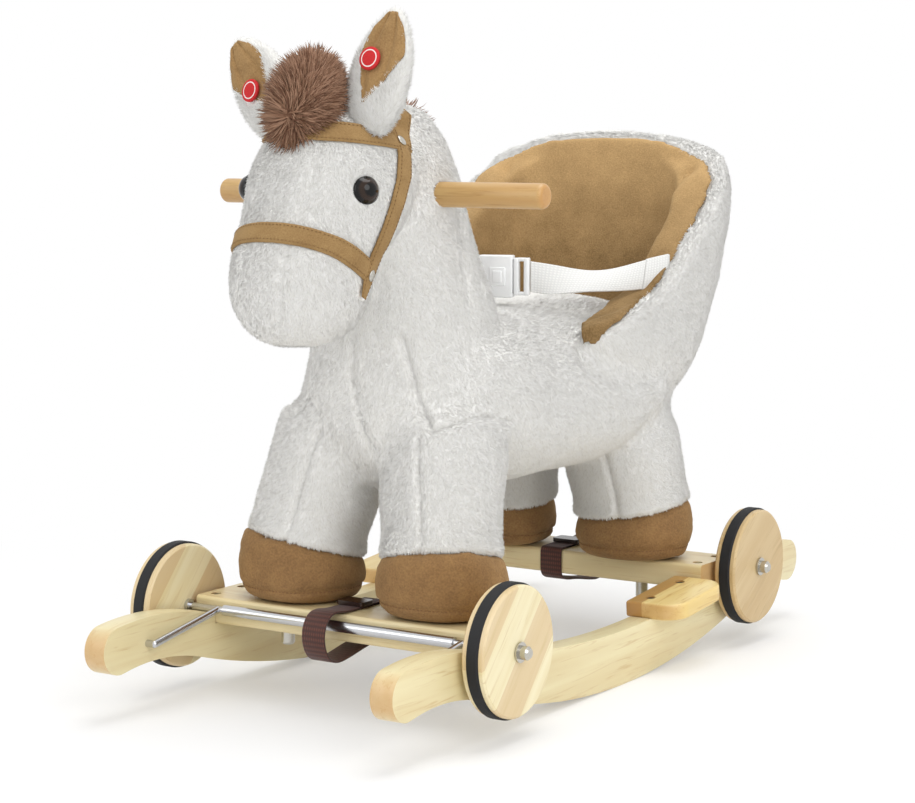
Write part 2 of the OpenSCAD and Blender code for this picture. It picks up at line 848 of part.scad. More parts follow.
module axle_rod() {
    translate([0, axle_y, axle_z])
        rotate([0, 90, 0])
            cylinder(h = 2 * axle_half, r = axle_d / 2, center = true);
}

module axle() {
    axle_rod();
    for (side = [-1, 1])
        translate([side * (wheel_in - end_play - collar_w / 2), axle_y, axle_z])
            rotate([0, 90, 0])
                cylinder(h = collar_w, r = collar_r, center = true);
}

module axle_sleeve() {
    translate([0, axle_y, axle_z])
        turned([[axle_d / 2 + run_fit, -sleeve_half], [sleeve_d / 2, -sleeve_half],
            [sleeve_d / 2, sleeve_half], [axle_d / 2 + run_fit, sleeve_half]]);
}

module crank(side) {
    a = [side * crank_x, axle_y, axle_z];
    p = [side * crank_x, pivot_y, pivot_z];
    difference() {
        union() {
            rod(p, a, crank_d / 2);
            translate(p)
                sphere(crank_d / 2);
            rod(p, [side * (rocker_in + crank_pin_l), pivot_y, pivot_z], crank_d / 2);
        }
        axle_rod();
    }
}

module axle_cap(side) {
    translate([side * (wheel_out + end_play), axle_y, axle_z])
        mirror([side < 0 ? 1 : 0, 0, 0])
            turned([[axle_d / 2, 0], [cap_flange_r, 0], [cap_flange_r, cap_flange_t], [cap_r, cap_flange_t],
                [cap_r, cap_l - cap_end_l], [cap_end_r, cap_l], [0, cap_l], [0, cap_l - cap_wall],
                [axle_d / 2, cap_l - cap_wall]]);
}

wheel_r = wheel_d / 2;
tyre_r = wheel_r + tyre_proud;

module wheel(side) {
    translate([side * (wheel_in + wheel_t / 2), axle_y, axle_z])
        turned([[axle_d / 2 + run_fit, -wheel_t / 2], [wheel_r - wheel_chamfer, -wheel_t / 2],
            [wheel_r, wheel_chamfer - wheel_t / 2], [wheel_r, -tyre_w / 2],
            [wheel_r - tyre_seat, -tyre_w / 2], [wheel_r - tyre_seat, tyre_w / 2], [wheel_r, tyre_w / 2],
            [wheel_r, wheel_t / 2 - wheel_chamfer], [wheel_r - wheel_chamfer, wheel_t / 2],
            [axle_d / 2 + run_fit, wheel_t / 2]]);
}

module tyre(side) {
    translate([side * (wheel_in + wheel_t / 2), axle_y, axle_z])
        turned([[wheel_r - tyre_seat, -tyre_w / 2], [tyre_r - tyre_chamfer, -tyre_w / 2],
            [tyre_r, tyre_chamfer - tyre_w / 2], [tyre_r, tyre_w / 2 - tyre_chamfer],
            [tyre_r - tyre_chamfer, tyre_w / 2], [wheel_r - tyre_seat, tyre_w / 2]]);
}

pine = [0.90, 0.82, 0.62];
white_plush = [0.91, 0.90, 0.88];
tan_suede = [0.62, 0.46, 0.25];
brown_fur = [0.52, 0.40, 0.33];
steel = [0.75, 0.76, 0.78];
black_rubber = [0.14, 0.14, 0.16];
brown_webbing = [0.28, 0.13, 0.10];
white_webbing = [0.90, 0.90, 0.90];

module rocker_left() color(pine) rocker(1);
module rocker_right() color(pine) rocker(-1);
module front_crossbar() color(pine) crossbar(-1);
module rear_crossbar() color(pine) crossbar(1);
module footrest_left() color(pine) footrest(1);
module footrest_right() color(pine) footrest(-1);

module wood_screws() {
    color(steel)
        for (side = [-1, 1]) {
            for (dir = [-1, 1])
                at_bar_screws(dir, side)
                    screw_at(0);
            at_foot_screws(side)
                screw_at(0);
        }
}

module leg_bolts() color(steel) each_leg() leg_bolt($side, $dir);
module leg_cap_nuts() color(steel) each_leg() leg_cap_nut($side, $dir);

module leg_posts() {
    color(pine)
        difference() {
            each_leg()
                leg_post($side, $dir, 0);
            each_leg()
                leg_bolt($side, $dir);
        }
}

module seat_board() color(pine) seat_board_solid(0);

module neck_board() {
    color(pine)
        difference() {
            neck_board_solid(0);
            handle_solid(run_fit);
        }
}

module back_panel() color(pine) back_panel_solid(0);

module handle_bar() {
    color(pine)
        translate([0, -handle_y, handle_z])
            rotate([0, 90, 0])
                rotate_extrude() {
                    square([handle_d / 2 - handle_edge_r, handle_l / 2]);
                    square([handle_d / 2, handle_l / 2 - handle_edge_r]);
                    translate([handle_d / 2 - handle_edge_r, handle_l / 2 - handle_edge_r])
                        circle(handle_edge_r);
                    mirror([0, 1]) {
                        square([handle_d / 2 - handle_edge_r, handle_l / 2]);
                        square([handle_d / 2, handle_l / 2 - handle_edge_r]);
                        translate([handle_d / 2 - handle_edge_r, handle_l / 2 - handle_edge_r])
                            circle(handle_edge_r);
                    }
                }
}

module body() {
    color(white_plush)
        difference() {
            loft(body_rings(0));
            seat_board_solid(core_gap);
            neck_board_solid(core_gap);
            each_leg()
                leg_post($side, $dir, core_gap);
        }
}

module neck() {
    color(white_plush)
        difference() {
            loft(neck_rings(0));
            loft(body_rings(seam_gap));
            neck_board_solid(core_gap);
            handle_solid(core_gap);
        }
}

module head() {
    color(white_plush)
        difference() {
            loft(head_rings(0));
            loft(neck_rings(seam_gap));
        }
}

module leg(side, dir) {
    color(white_plush)
        difference() {
            loft(leg_rings(side, dir));
            loft(body_rings(seam_gap));
            if (dir < 0)
                loft(neck_rings(seam_gap));
            else
                loft(seat_rings(seam_gap));
            leg_post(side, dir, core_gap);
        }
}

module front_left_leg() leg(1, -1);
module front_right_leg() leg(-1, -1);
module rear_left_leg() leg(1, 1);
module rear_right_leg() leg(-1, 1);

module hooves() {
    color(tan_suede)
        difference() {
            each_leg()
                loft(hoof_rings($side, $dir));
            each_leg()
                leg_post($side, $dir, core_gap);
        }
}

module left_ear() color(white_plush) ear(1);
module right_ear() color(white_plush) ear(-1);
module ear_linings() {
    color(tan_suede)
        difference() {
            for (side = [-1, 1])
                ear_lining(side);
            loft(head_rings(bridle_t + 2 * seam_gap));
        }
}

module ear_sound_pucks() color(black_rubber) for (side = [-1, 1]) puck(side, 0);
module left_ear_button() color([0.72, 0.10, 0.12]) ear_button(1);
module right_ear_button() color([0.72, 0.10, 0.12]) ear_button(-1);

module forelock() {
    color(brown_fur)
        difference() {
            loft(forelock_rings());
            loft(head_rings(seam_gap));
            bridle_room();
            for (side = [-1, 1])
                at_ear(side)
                    loft(ear_rings(ear_skin_t + 2 * seam_gap, 1, 1));
        }
}

module mane() {
    color(brown_fur)
        difference() {
            loft(mane_rings());
            loft(head_rings(seam_gap));
            loft(neck_rings(seam_gap));
        }
}

module tail() {
    color(brown_fur)
        difference() {
            loft(tail_rings());
            loft(body_rings(seam_gap));
            loft(seat_rings(seam_gap));
        }
}

module eyes() {
    color(black_rubber)
        difference() {
            for (side = [-1, 1])
                translate([side * eye_x, -eye_y, eye_z])
                    sphere(eye_d / 2);
            loft(head_rings(seam_gap));
        }
}

module headstall() {
    color(tan_suede)
        intersection() {
            face_skin();
            headstall_bands(0);
        }
}

module noseband() {
    color(tan_suede)
        difference() {
            intersection() {
                loft(head_rings(bridle_t + seam_gap));
                strap_band(nose_shares, bridle_w);
            }
            loft(head_rings(seam_gap));
            strap_band(cheek_shares, bridle_w + 2 * seam_gap);
        }
}

module bridle_rivets() {
    color(steel)
        difference() {
            for (side = [-1, 1]) {
                rivet(nose_rivet_shares, nose_rivet_x, side);
                rivet(brow_rivet_shares, brow_rivet_x, side);
            }
            loft(head_rings(bridle_t + 2 * seam_gap));
        }
}

module seat_back() {
    color(white_plush)
        difference() {
            intersection() {
                loft(seat_rings(0));
                seat_limits(0);
            }
            seat_cavity(seat_wall);
            difference() {
                loft(seat_rings(seam_gap - border_w));
                seat_limits(lining_t);
            }
            loft(body_rings(seam_gap));
            back_panel_solid(core_gap);
        }
}

module seat_lining() {
    color(tan_suede)
        difference() {
            intersection() {
                loft(seat_rings(-border_w));
                seat_limits(0);
            }
            seat_cavity(seat_wall + lining_t);
            loft(body_rings(seam_gap));
            difference() {
                seat_limits(lining_t - seam_gap);
                seat_cavity(seat_wall + seam_gap);
            }
        }
}

module belt_left() {
    color(white_webbing)
        difference() {
            belt_band(buckle_span + tongue_gap, belt_half);
            belt_end_cut();
        }
}

module belt_right() {
    color(white_webbing)
        difference() {
            belt_band(-tongue_gap, -belt_half);
            belt_end_cut();
        }
}

// room that the seat's wall takes from the belt's ends
module belt_end_cut() {
    difference() {
        seat_limits(-seam_gap);
        seat_cavity(seat_wall + lining_t + seam_gap);
    }
}

module buckle_socket() {
    color(white_webbing)
        difference() {
            at_buckle()
                translate([-socket_l / 2, 0, 0])
                    cube([socket_l, buckle_t, buckle_h], center = true);
            at_buckle()
                translate([(overrun - tongue_l - slot_wall) / 2, 0, 0])
                    cube([tongue_l + slot_wall + overrun, tongue_t + 2 * tongue_gap,
                        tongue_h + 2 * tongue_gap], center = true);
        }
}

module buckle_tongue() {
    color(white_webbing)
        at_buckle() {
            translate([(tongue_gap + overrun - tongue_l) / 2, 0, 0])
                cube([tongue_l + tongue_gap + overrun, tongue_t, tongue_h], center = true);
            translate([tongue_gap + shoulder_l / 2, 0, 0])
                cube([shoulder_l, shoulder_t, shoulder_h], center = true);
        }
}

module front_strap() color(brown_webbing) end(-1) strap_loop();
module rear_strap() color(brown_webbing) end(1) strap_loop();

module strap_sliders() {
    color(black_rubber)
        for (dir = [-1, 1])
            translate([-strap_x, dir * bar_y, bar_top + strap_t + 2 * seam_gap])
                linear_extrude(slider_t)
                    rounded(slider_w, slider_l, slider_r);
}

module front_axle() color(steel) end(-1) axle();
module front_sleeve() color(steel) end(-1) axle_sleeve();
module front_cranks() color(steel) end(-1) for (side = [-1, 1]) crank(side);
module front_axle_caps() color(steel) end(-1) for (side = [-1, 1]) axle_cap(side);
module rear_axle() color(steel) end(1) axle();
module rear_sleeve() color(steel) end(1) axle_sleeve();
module rear_cranks() color(steel) end(1) for (side = [-1, 1]) crank(side);
module rear_axle_caps() color(steel) end(1) for (side = [-1, 1]) axle_cap(side);
module front_left_wheel() color(pine) end(-1) wheel(1);
module front_left_tyre() color(black_rubber) end(-1) tyre(1);
module front_right_wheel() color(pine) end(-1) wheel(-1);
module front_right_tyre() color(black_rubber) end(-1) tyre(-1);
module rear_left_wheel() color(pine) end(1) wheel(1);
module rear_left_tyre() color(black_rubber) end(1) tyre(1);
module rear_right_wheel() color(pine) end(1) wheel(-1);
module rear_right_tyre() color(black_rubber) end(1) tyre(-1);

rocker_left();
rocker_right();
front_crossbar();
rear_crossbar();
footrest_left();
footrest_right();
wood_screws();
leg_bolts();
leg_cap_nuts();
leg_posts();
seat_board();
neck_board();
back_panel();
handle_bar();
body();
neck();
head();
front_left_leg();
front_right_leg();
rear_left_leg();
rear_right_leg();
hooves();
left_ear();
right_ear();
ear_linings();
ear_sound_pucks();
left_ear_button();
right_ear_button();
forelock();
mane();
tail();
eyes();
headstall();
noseband();
bridle_rivets();
seat_back();
seat_lining();
belt_left();
belt_right();
buckle_socket();
buckle_tongue();
front_strap();
rear_strap();
strap_sliders();
front_axle();
front_sleeve();
front_cranks();
front_axle_caps();
rear_axle();
rear_sleeve();
rear_cranks();
rear_axle_caps();
front_left_wheel();
front_left_tyre();
front_right_wheel();
front_right_tyre();
rear_left_wheel();
rear_left_tyre();
rear_right_wheel();
rear_right_tyre();
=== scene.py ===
"""Looks of the rocking and rolling plush horse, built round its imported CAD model."""
import math
from contextlib import contextmanager

import bmesh
import bpy
import numpy as np
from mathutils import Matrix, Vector, noise
from mathutils.bvhtree import BVHTree


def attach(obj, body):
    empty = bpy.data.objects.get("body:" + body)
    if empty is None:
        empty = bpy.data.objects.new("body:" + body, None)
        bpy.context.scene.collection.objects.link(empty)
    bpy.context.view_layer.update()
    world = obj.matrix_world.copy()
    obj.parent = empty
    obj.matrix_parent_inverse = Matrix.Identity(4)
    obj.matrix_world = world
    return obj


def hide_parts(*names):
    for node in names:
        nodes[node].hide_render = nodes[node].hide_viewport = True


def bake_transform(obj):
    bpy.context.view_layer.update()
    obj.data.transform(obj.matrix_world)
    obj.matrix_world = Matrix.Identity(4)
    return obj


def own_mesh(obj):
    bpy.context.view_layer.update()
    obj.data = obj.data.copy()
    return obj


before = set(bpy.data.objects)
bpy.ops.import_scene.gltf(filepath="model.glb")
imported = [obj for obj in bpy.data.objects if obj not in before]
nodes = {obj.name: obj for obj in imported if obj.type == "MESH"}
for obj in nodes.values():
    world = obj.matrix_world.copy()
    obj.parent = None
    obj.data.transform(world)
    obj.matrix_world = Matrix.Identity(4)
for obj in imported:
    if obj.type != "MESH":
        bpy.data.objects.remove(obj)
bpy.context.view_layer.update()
scene = bpy.context.scene
MM = 0.001
QUARTER = math.pi / 2
SIDES = ((1, "left"), (-1, "right"))


# ---------------------------------------------------------------- small tools

def linear(code):
    """An sRGB hex colour as linear RGBA."""
    parts = [int(code[i:i + 2], 16) / 255 for i in (1, 3, 5)]
    return [c / 12.92 if c <= 0.04045 else ((c + 0.055) / 1.055) ** 2.4 for c in parts] + [1.0]


def feed(tree, node, inputs):
    """Sets inputs of a node, each to a value, an sRGB hex colour or another node's output."""
    for name, value in inputs.items():
        if isinstance(value, bpy.types.NodeSocket):
            tree.links.new(value, node.inputs[name])
        else:
            coded = isinstance(value, str) and value.startswith("#")
            node.inputs[name].default_value = linear(value) if coded else value


def add(tree, kind, inputs=None, out=0, **settings):
    """Adds one node with its settings and inputs; gives one of its outputs, or the node where out is None."""
    node = tree.nodes.new(kind)
    for name, value in settings.items():
        setattr(node, name, value)
    feed(tree, node, inputs or {})
    return node if out is None else node.outputs[out]


def linked(name, data):
    """A new object in the scene, at the origin."""
    ob = bpy.data.objects.new(name, data)
    scene.collection.objects.link(ob)
    return ob


def smoothed(ob):
    """Smooth shading on every face."""
    ob.data.polygons.foreach_set("use_smooth", [True] * len(ob.data.polygons))
    return ob


def piece(name, verts, faces, material):
    """A smooth mesh object from points in millimetres."""
    mesh = bpy.data.meshes.new(name)
    mesh.from_pydata((np.asarray(verts, float) * MM).tolist(), [], [list(f) for f in faces])
    mesh.materials.append(material)
    return smoothed(linked(name, mesh))


def settle(ob):
    """Turns what the modifiers give into the object's own plain mesh."""
    graph = bpy.context.evaluated_depsgraph_get()
    mesh = bpy.data.meshes.new_from_object(ob.evaluated_get(graph))
    ob.modifiers.clear()
    old, ob.data = ob.data, mesh
    if old.users == 0:
        bpy.data.meshes.remove(old)
    return ob


@contextmanager
def reworked(ob):
    """The object's mesh, open for bmesh steps."""
    work = bmesh.new()
    work.from_mesh(ob.data)
    yield work
    work.to_mesh(ob.data)
    work.free()


def points(ob):
    """Points of an object's mesh, in metres."""
    co = np.empty(len(ob.data.vertices) * 3)
    ob.data.vertices.foreach_get("co", co)
    return co.reshape(-1, 3)


def normals(ob):
    """Normals at the points of an object's mesh."""
    out = np.empty(len(ob.data.vertices) * 3)
    ob.data.vertex_normals.foreach_get("vector", out)
    return out.reshape(-1, 3)


def polygons(ob):
    """Faces of an object's mesh, as tuples of point numbers."""
    return [tuple(p.vertices) for p in ob.data.polygons]


def place(ob, co):
    """Moves the points of an object's mesh to new places, in metres."""
    ob.data.vertices.foreach_set("co", np.asarray(co, np.float32).ravel())
    ob.data.update()


def swell(ob, amount):
    """Moves each point out along its normal by so many millimetres."""
    co = points(ob)
    place(ob, co + normals(ob) * ((np.zeros(len(co)) + amount) * MM)[:, None])


def tree_of(ob):
    """A search tree over the faces of an object."""
    return BVHTree.FromPolygons([v.co.copy() for v in ob.data.vertices], [list(f) for f in polygons(ob)])


def rough(co, size, seed):
    """Smooth noise from -1 to 1 at each point, with lumps of so many millimetres."""
    shift = Vector((seed * 7.3, seed * 3.1, seed * 1.7))
    return np.array([noise.noise(Vector(p) / (size * MM) + shift) for p in co])


def unit(rows):
    """Rows of vectors brought to length one."""
    return rows / np.maximum(np.linalg.norm(rows, axis=1), 1e-6)[:, None]


def mirrored(path, side):
    """A path of the left side, on the side that is asked for."""
    return [(side * x, y, z) for x, y, z in path]


def run_of(path):
    """Length walked along a path up to each of its points."""
    return np.concatenate([[0], np.cumsum(np.linalg.norm(np.diff(path, axis=0), axis=1))])


def even_steps(path, n):
    """A path walked in n even steps."""
    run = run_of(path)
    return np.stack([np.interp(np.linspace(0, run[-1], n), run, axis) for axis in path.T], 1)


def between_corners(corners, n):
    """A path through some corners with n points, as many between any two corners."""
    steps = np.linspace(0, len(corners) - 1, n)
    return np.stack([np.interp(steps, range(len(corners)), axis) for axis in np.asarray(corners, float).T], 1)


def give(ob, body, stands_for=()):
    """Says which body carries a piece, and the CAD nodes that it stands for."""
    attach(ob, body)
    if stands_for:
        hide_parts(*stands_for)
    return ob


# ---------------------------------------------------------------- finishes

def finish(name):
    """A new material, its tree and its Principled shader."""
    mat = bpy.data.materials.new(name)
    mat.use_nodes = True
    return mat, mat.node_tree, mat.node_tree.nodes["Principled BSDF"]


def layered(tree, colour, *layers):
    """A ground colour with other colours laid over it, each by its own share."""
    for share, code in layers:
        colour = add(tree, "ShaderNodeMix", {0: share, 6: colour, 7: code}, 2, data_type="RGBA")
    return colour


def plush_ground(name):
    # Knitted ground of short polyester plush: matt and soft, off-white, a little greyer where the pile parts.
    mat, tree, shader = finish(name)
    where = add(tree, "ShaderNodeTexCoord", out="Object")
    lumps = add(tree, "ShaderNodeTexNoise", {"Vector": where, "Scale": 1 / (9 * MM), "Detail": 4.0})
    knit = add(tree, "ShaderNodeTexNoise", {"Vector": where, "Scale": 1 / (1.6 * MM), "Detail": 3.0})
    feed(tree, shader, {"Base Color": layered(tree, "#F4F3EF", (lumps, "#FCFBF8")), "Roughness": 0.95,
        "Specular IOR Level": 0.2,
        "Normal": add(tree, "ShaderNodeBump", {"Height": knit, "Distance": 0.0012, "Strength": 0.6})})
    return mat


def pile_shade(name, code, roughness=0.8, sheen=0.1):
    # One shade of crimped polyester fibre: soft highlight along the strand and a pale rim of sheen.
    mat, tree, shader = finish(name)
    feed(tree, shader, {"Base Color": code, "Roughness": roughness, "Specular IOR Level": 0.25,
        "Sheen Weight": sheen, "Sheen Roughness": 0.4})
    return mat


def suede_of(name, low, high, grain=1.3, shade_heights=None):
    # Brushed microfibre suede: napped and matt, with broad brushed patches and a fine speckle of short fibres.
    # Between the two heights given last, in millimetres, the colour is painted darker towards the bottom and paler
    # towards the top: painted shade low on the seat's lining and painted light at its top.
    mat, tree, shader = finish(name)
    where = add(tree, "ShaderNodeTexCoord", out="Object")
    nap = add(tree, "ShaderNodeTexNoise", {"Vector": where, "Scale": 1 / (26 * MM), "Detail": 5.0, "Roughness": 0.6})
    speck = add(tree, "ShaderNodeTexNoise", {"Vector": where, "Scale": 1 / (grain * MM), "Detail": 2.0})
    both = add(tree, "ShaderNodeMath", {0: nap, 1: speck}, operation="ADD")
    reach = 0.38
    if shade_heights:
        reach = 0.76
        # painted shade and painted light: darker towards the bottom of the lining, paler towards its top
        height = add(tree, "ShaderNodeSeparateXYZ", {0: where}, "Z")
        painted_shade_ramp = add(tree, "ShaderNodeMapRange", {"Value": height, "From Min": shade_heights[0] * MM,
            "From Max": shade_heights[1] * MM, "To Min": -0.38, "To Max": 0.53})
        both = add(tree, "ShaderNodeMath", {0: both, 1: painted_shade_ramp}, operation="ADD")
    part = add(tree, "ShaderNodeMapRange", {"Value": both, "From Min": 1 - reach, "From Max": 1 + reach})
    feed(tree, shader, {"Base Color": layered(tree, low, (part, high)), "Roughness": 0.92, "Specular IOR Level": 0.2,
        "Sheen Weight": 0.25, "Sheen Roughness": 0.5, "Sheen Tint": "#E8CFA0",
        "Normal": add(tree, "ShaderNodeBump", {"Height": speck, "Distance": 0.0006, "Strength": 0.55})})
    return mat


def wood_of(name, turn, strip, pale, dark, line, seed, cut=0.6, inner=None):
    # Lacquered pine: pale straw wood, long grain lines a few millimetres apart, satin lacquer.
    # turn brings the grain onto the X axis; strip is the width of the glued laminations in millimetres;
    # cut is how much the end grain darkens; a darker board is glued on inside of x = inner.
    mat, tree, shader = finish(name)
    where = add(tree, "ShaderNodeTexCoord", out="Object")
    along = add(tree, "ShaderNodeMapping", {"Vector": where, "Rotation": turn,
        "Location": (seed, seed * 0.7, seed * 0.3)})
    drawn = add(tree, "ShaderNodeMapping", {"Vector": along, "Scale": (0.055, 1.0, 1.0)})
    broad, rings, pores = (add(tree, "ShaderNodeTexNoise", {"Vector": drawn, "Scale": 1 / (size * MM),
        "Detail": detail, "Distortion": bent})
        for size, detail, bent in ((16, 3.0, 0.5), (3.2, 4.0, 0.9), (0.8, 2.0, 0.0)))
    layers = [(add(tree, "ShaderNodeMapRange", {"Value": broad, "From Min": 0.32, "From Max": 0.72}), dark)]
    if strip:
        height = add(tree, "ShaderNodeSeparateXYZ", {0: along}, "Z")
        count = add(tree, "ShaderNodeMath", {0: height, 1: strip * MM}, operation="DIVIDE")
        board = add(tree, "ShaderNodeMath", {0: count}, operation="FLOOR")
        odd = add(tree, "ShaderNodeMath", {0: board, 1: 2.0}, operation="FLOORED_MODULO")
        layers.append((add(tree, "ShaderNodeMath", {0: odd, 1: 0.55}, operation="MULTIPLY"), "#D0AE7F"))
    if inner:
        sideways = add(tree, "ShaderNodeSeparateXYZ", {0: where}, "X")
        out = add(tree, "ShaderNodeMath", {0: sideways}, operation="ABSOLUTE")
        layers.append((add(tree, "ShaderNodeMapRange", {"Value": out, "From Min": inner * MM,
            "From Max": (inner - 0.6) * MM, "To Max": 0.75}), "#A9783E"))
    layers.append((add(tree, "ShaderNodeMapRange", {"Value": rings, "From Min": 0.56, "From Max": 0.72,
        "To Max": 0.55}), line))
    face = add(tree, "ShaderNodeMapping", {"Vector": add(tree, "ShaderNodeTexCoord", out="Normal"), "Rotation": turn})
    end = add(tree, "ShaderNodeMath", {0: add(tree, "ShaderNodeSeparateXYZ", {0: face}, "X")}, operation="ABSOLUTE")
    layers.append((add(tree, "ShaderNodeMapRange", {"Value": end, "From Min": 0.3, "From Max": 0.95,
        "To Max": cut}), "#C48E4E"))
    feed(tree, shader, {"Base Color": layered(tree, pale, *layers), "Coat Weight": 0.25, "Coat Roughness": 0.25,
        "Roughness": add(tree, "ShaderNodeMapRange", {"Value": pores, "To Min": 0.36, "To Max": 0.52}),
        "Normal": add(tree, "ShaderNodeBump", {"Height": pores, "Distance": 0.0002, "Strength": 0.35})})
    return mat


def steel_of(name, code, low, high, drawn=(1.0, 1.0, 1.0)):
    # Plated steel: mirror-like grey metal with faint drawing marks along the rod.
    mat, tree, shader = finish(name)
    along = add(tree, "ShaderNodeMapping", {"Vector": add(tree, "ShaderNodeTexCoord", out="Object"), "Scale": drawn})
    marks = add(tree, "ShaderNodeTexNoise", {"Vector": along, "Scale": 1 / (1.2 * MM), "Detail": 4.0})
    feed(tree, shader, {"Base Color": code, "Metallic": 1.0,
        "Roughness": add(tree, "ShaderNodeMapRange", {"Value": marks, "To Min": low, "To Max": high})})
    return mat


def moulded(name, code, other, gloss, size=2.0):
    # Moulded plastic, rubber or spun thread: even colour with a faint cloud and a fine texture.
    mat, tree, shader = finish(name)
    where = add(tree, "ShaderNodeTexCoord", out="Object")
    cloud = add(tree, "ShaderNodeTexNoise", {"Vector": where, "Scale": 1 / (12 * MM), "Detail": 3.0})
    grit = add(tree, "ShaderNodeTexNoise", {"Vector": where, "Scale": 1 / (size * MM), "Detail": 2.0})
    feed(tree, shader, {"Base Color": layered(tree, code, (cloud, other)), "Roughness": gloss,
        "Normal": add(tree, "ShaderNodeBump", {"Height": grit, "Distance": 0.0002, "Strength": 0.25})})
    return mat


def webbing_of(name, low, high, rib, relief=0.7):
    # Woven polyester webbing: cross ribs a millimetre or two apart, yarns that catch the light.
    # A wave texture repeats every pi / 10 of its scale, and a rib is half of that.
    mat, tree, shader = finish(name)
    run = add(tree, "ShaderNodeUVMap", uv_map="run")
    ribs = add(tree, "ShaderNodeTexWave", {"Vector": run, "Scale": math.pi / (20 * rib * MM), "Distortion": 0.4,
        "Detail": 1.0, "Detail Scale": 3.0}, "Fac", bands_direction="X")
    yarn = add(tree, "ShaderNodeTexWave", {"Vector": run, "Scale": math.pi / (20 * 1.1 * MM), "Distortion": 0.3},
        "Fac", bands_direction="Y")
    weave = add(tree, "ShaderNodeMath", {0: ribs, 1: yarn}, operation="MULTIPLY")
    feed(tree, shader, {"Base Color": layered(tree, low, (weave, high)), "Roughness": 0.7, "Sheen Weight": 0.15,
        "Normal": add(tree, "ShaderNodeBump", {"Height": weave, "Distance": 0.0004, "Strength": relief})})
    return mat


def eye_glass():
    # Moulded safety eye: clear dome over a dark pupil, a grey-brown ring and a black edge.
    mat, tree, shader = finish("acrylic_eye")
    ring = add(tree, "ShaderNodeAttribute", out="Fac", attribute_name="ring")
    iris, edge = (add(tree, "ShaderNodeMapRange", {"Value": ring, "From Min": low, "From Max": high})
        for low, high in ((0.42, 0.56), (0.74, 0.86)))
    feed(tree, shader, {"Base Color": layered(tree, "#030303", (iris, "#2C1E15"), (edge, "#050505")),
        "Roughness": 0.12, "Specular IOR Level": 0.12, "Coat Weight": 0.4, "Coat Roughness": 0.03})
    return mat


def patch_felt():
    # Printed red felt disc with a pale ring: matt, short fibres.
    mat, tree, shader = finish("red_felt")
    where = add(tree, "ShaderNodeTexCoord", out="Object")
    ring = add(tree, "ShaderNodeAttribute", out="Fac", attribute_name="ring")
    inside = add(tree, "ShaderNodeMath", {0: ring, 1: 0.66}, operation="GREATER_THAN")
    outside = add(tree, "ShaderNodeMath", {0: ring, 1: 0.76}, operation="LESS_THAN")
    printed = add(tree, "ShaderNodeMath", {0: inside, 1: outside}, operation="MULTIPLY")
    fibre = add(tree, "ShaderNodeTexNoise", {"Vector": where, "Scale": 1 / (0.9 * MM), "Detail": 2.0})
    feed(tree, shader, {"Base Color": layered(tree, "#B3161B", (fibre, "#D62C2E"), (printed, "#F0E4E0")),
        "Roughness": 0.85,
        "Normal": add(tree, "ShaderNodeBump", {"Height": fibre, "Distance": 0.0004, "Strength": 0.4})})
    return mat


ground = plush_ground("plush_ground")
WHITES = (pile_shade("plush_pile_white", "#FBFAF7"), pile_shade("plush_pile_warm", "#F7F6F1"),
    pile_shade("plush_pile_grey", "#EDEBE6"))
BROWNS = (pile_shade("long_fur_mauve_brown", "#8E6A52", 0.65, 0.08),
    pile_shade("long_fur_light_brown", "#A9836A", 0.65, 0.08),
    pile_shade("long_fur_dark_brown", "#7A5641", 0.65, 0.08))
suede = suede_of("tan_microfibre_suede", "#856641", "#AD8B5D")
# seat lining: its colour has painted shade towards the bottom and painted light towards the top, between 325 and 435 mm
suede_seat = suede_of("tan_seat_suede", "#68502F", "#C3A06F", 1.3, (325, 435))
suede_hoof = suede_of("tan_hoof_suede", "#76583A", "#9F7B50", 1.6)
suede_bridle = suede_of("tan_bridle_suede", "#846640", "#A7885B", 1.0)
thread = moulded("polyester_thread", "#6F5029", "#8B6838", 0.6)
hoof_thread = moulded("dark_hoof_thread", "#6B4A28", "#8A6338", 0.7)
steel = steel_of("plated_steel", "#C8C9CC", 0.12, 0.3, (0.05, 1.0, 1.0))
cap_steel = steel_of("nickel_caps", "#C0BDB5", 0.16, 0.32)
screw_steel = steel_of("dark_screw_steel", "#35312A", 0.35, 0.5)
rubber = moulded("black_rubber", "#0F0F11", "#18181B", 0.75, 1.2)
slider_plastic = moulded("dark_moulded_plastic", "#24140F", "#301B15", 0.22)
buckle_plastic = moulded("milky_polypropylene", "#FAFBFB", "#F0F2F3", 0.22, 4.0)
brown_web = webbing_of("brown_webbing", "#3A1A12", "#673426", 2.0)
white_web = webbing_of("white_webbing", "#DFDFDD", "#EFEFEC", 1.5, 0.4)
eye_shine = eye_glass()
felt = patch_felt()
rocker_wood = wood_of("pine_rocker", (0, 0, QUARTER), None, "#E8DCB0", "#DCC998", "#C5A46C", 0.1)
bar_wood = wood_of("pine_crossbar", (0, 0, 0), None, "#EBDDB2", "#DFC995", "#CBA96F", 0.4)
foot_wood = wood_of("pine_footrest", (0, 0, QUARTER), None, "#F4DD9C", "#E6C77B", "#C4944F", 0.7, inner=137)
wheel_wood = wood_of("pine_front_wheel", (-0.85, 0, QUARTER), 34, "#F0E6C1", "#E5D6A8", "#CFB682", 0.2343, cut=0.1)
tan_wheel_wood = wood_of("pine_rear_wheel", (-0.6, 0, QUARTER), None, "#D2B98A", "#C5A775", "#AC8A55", 0.3, cut=0.1)
handle_wood = wood_of("pine_handle", (0, 0, 0), None, "#CBA86D", "#B98F56", "#A0753E", 0.9)


# ---------------------------------------------------------------- Geometry Nodes trees

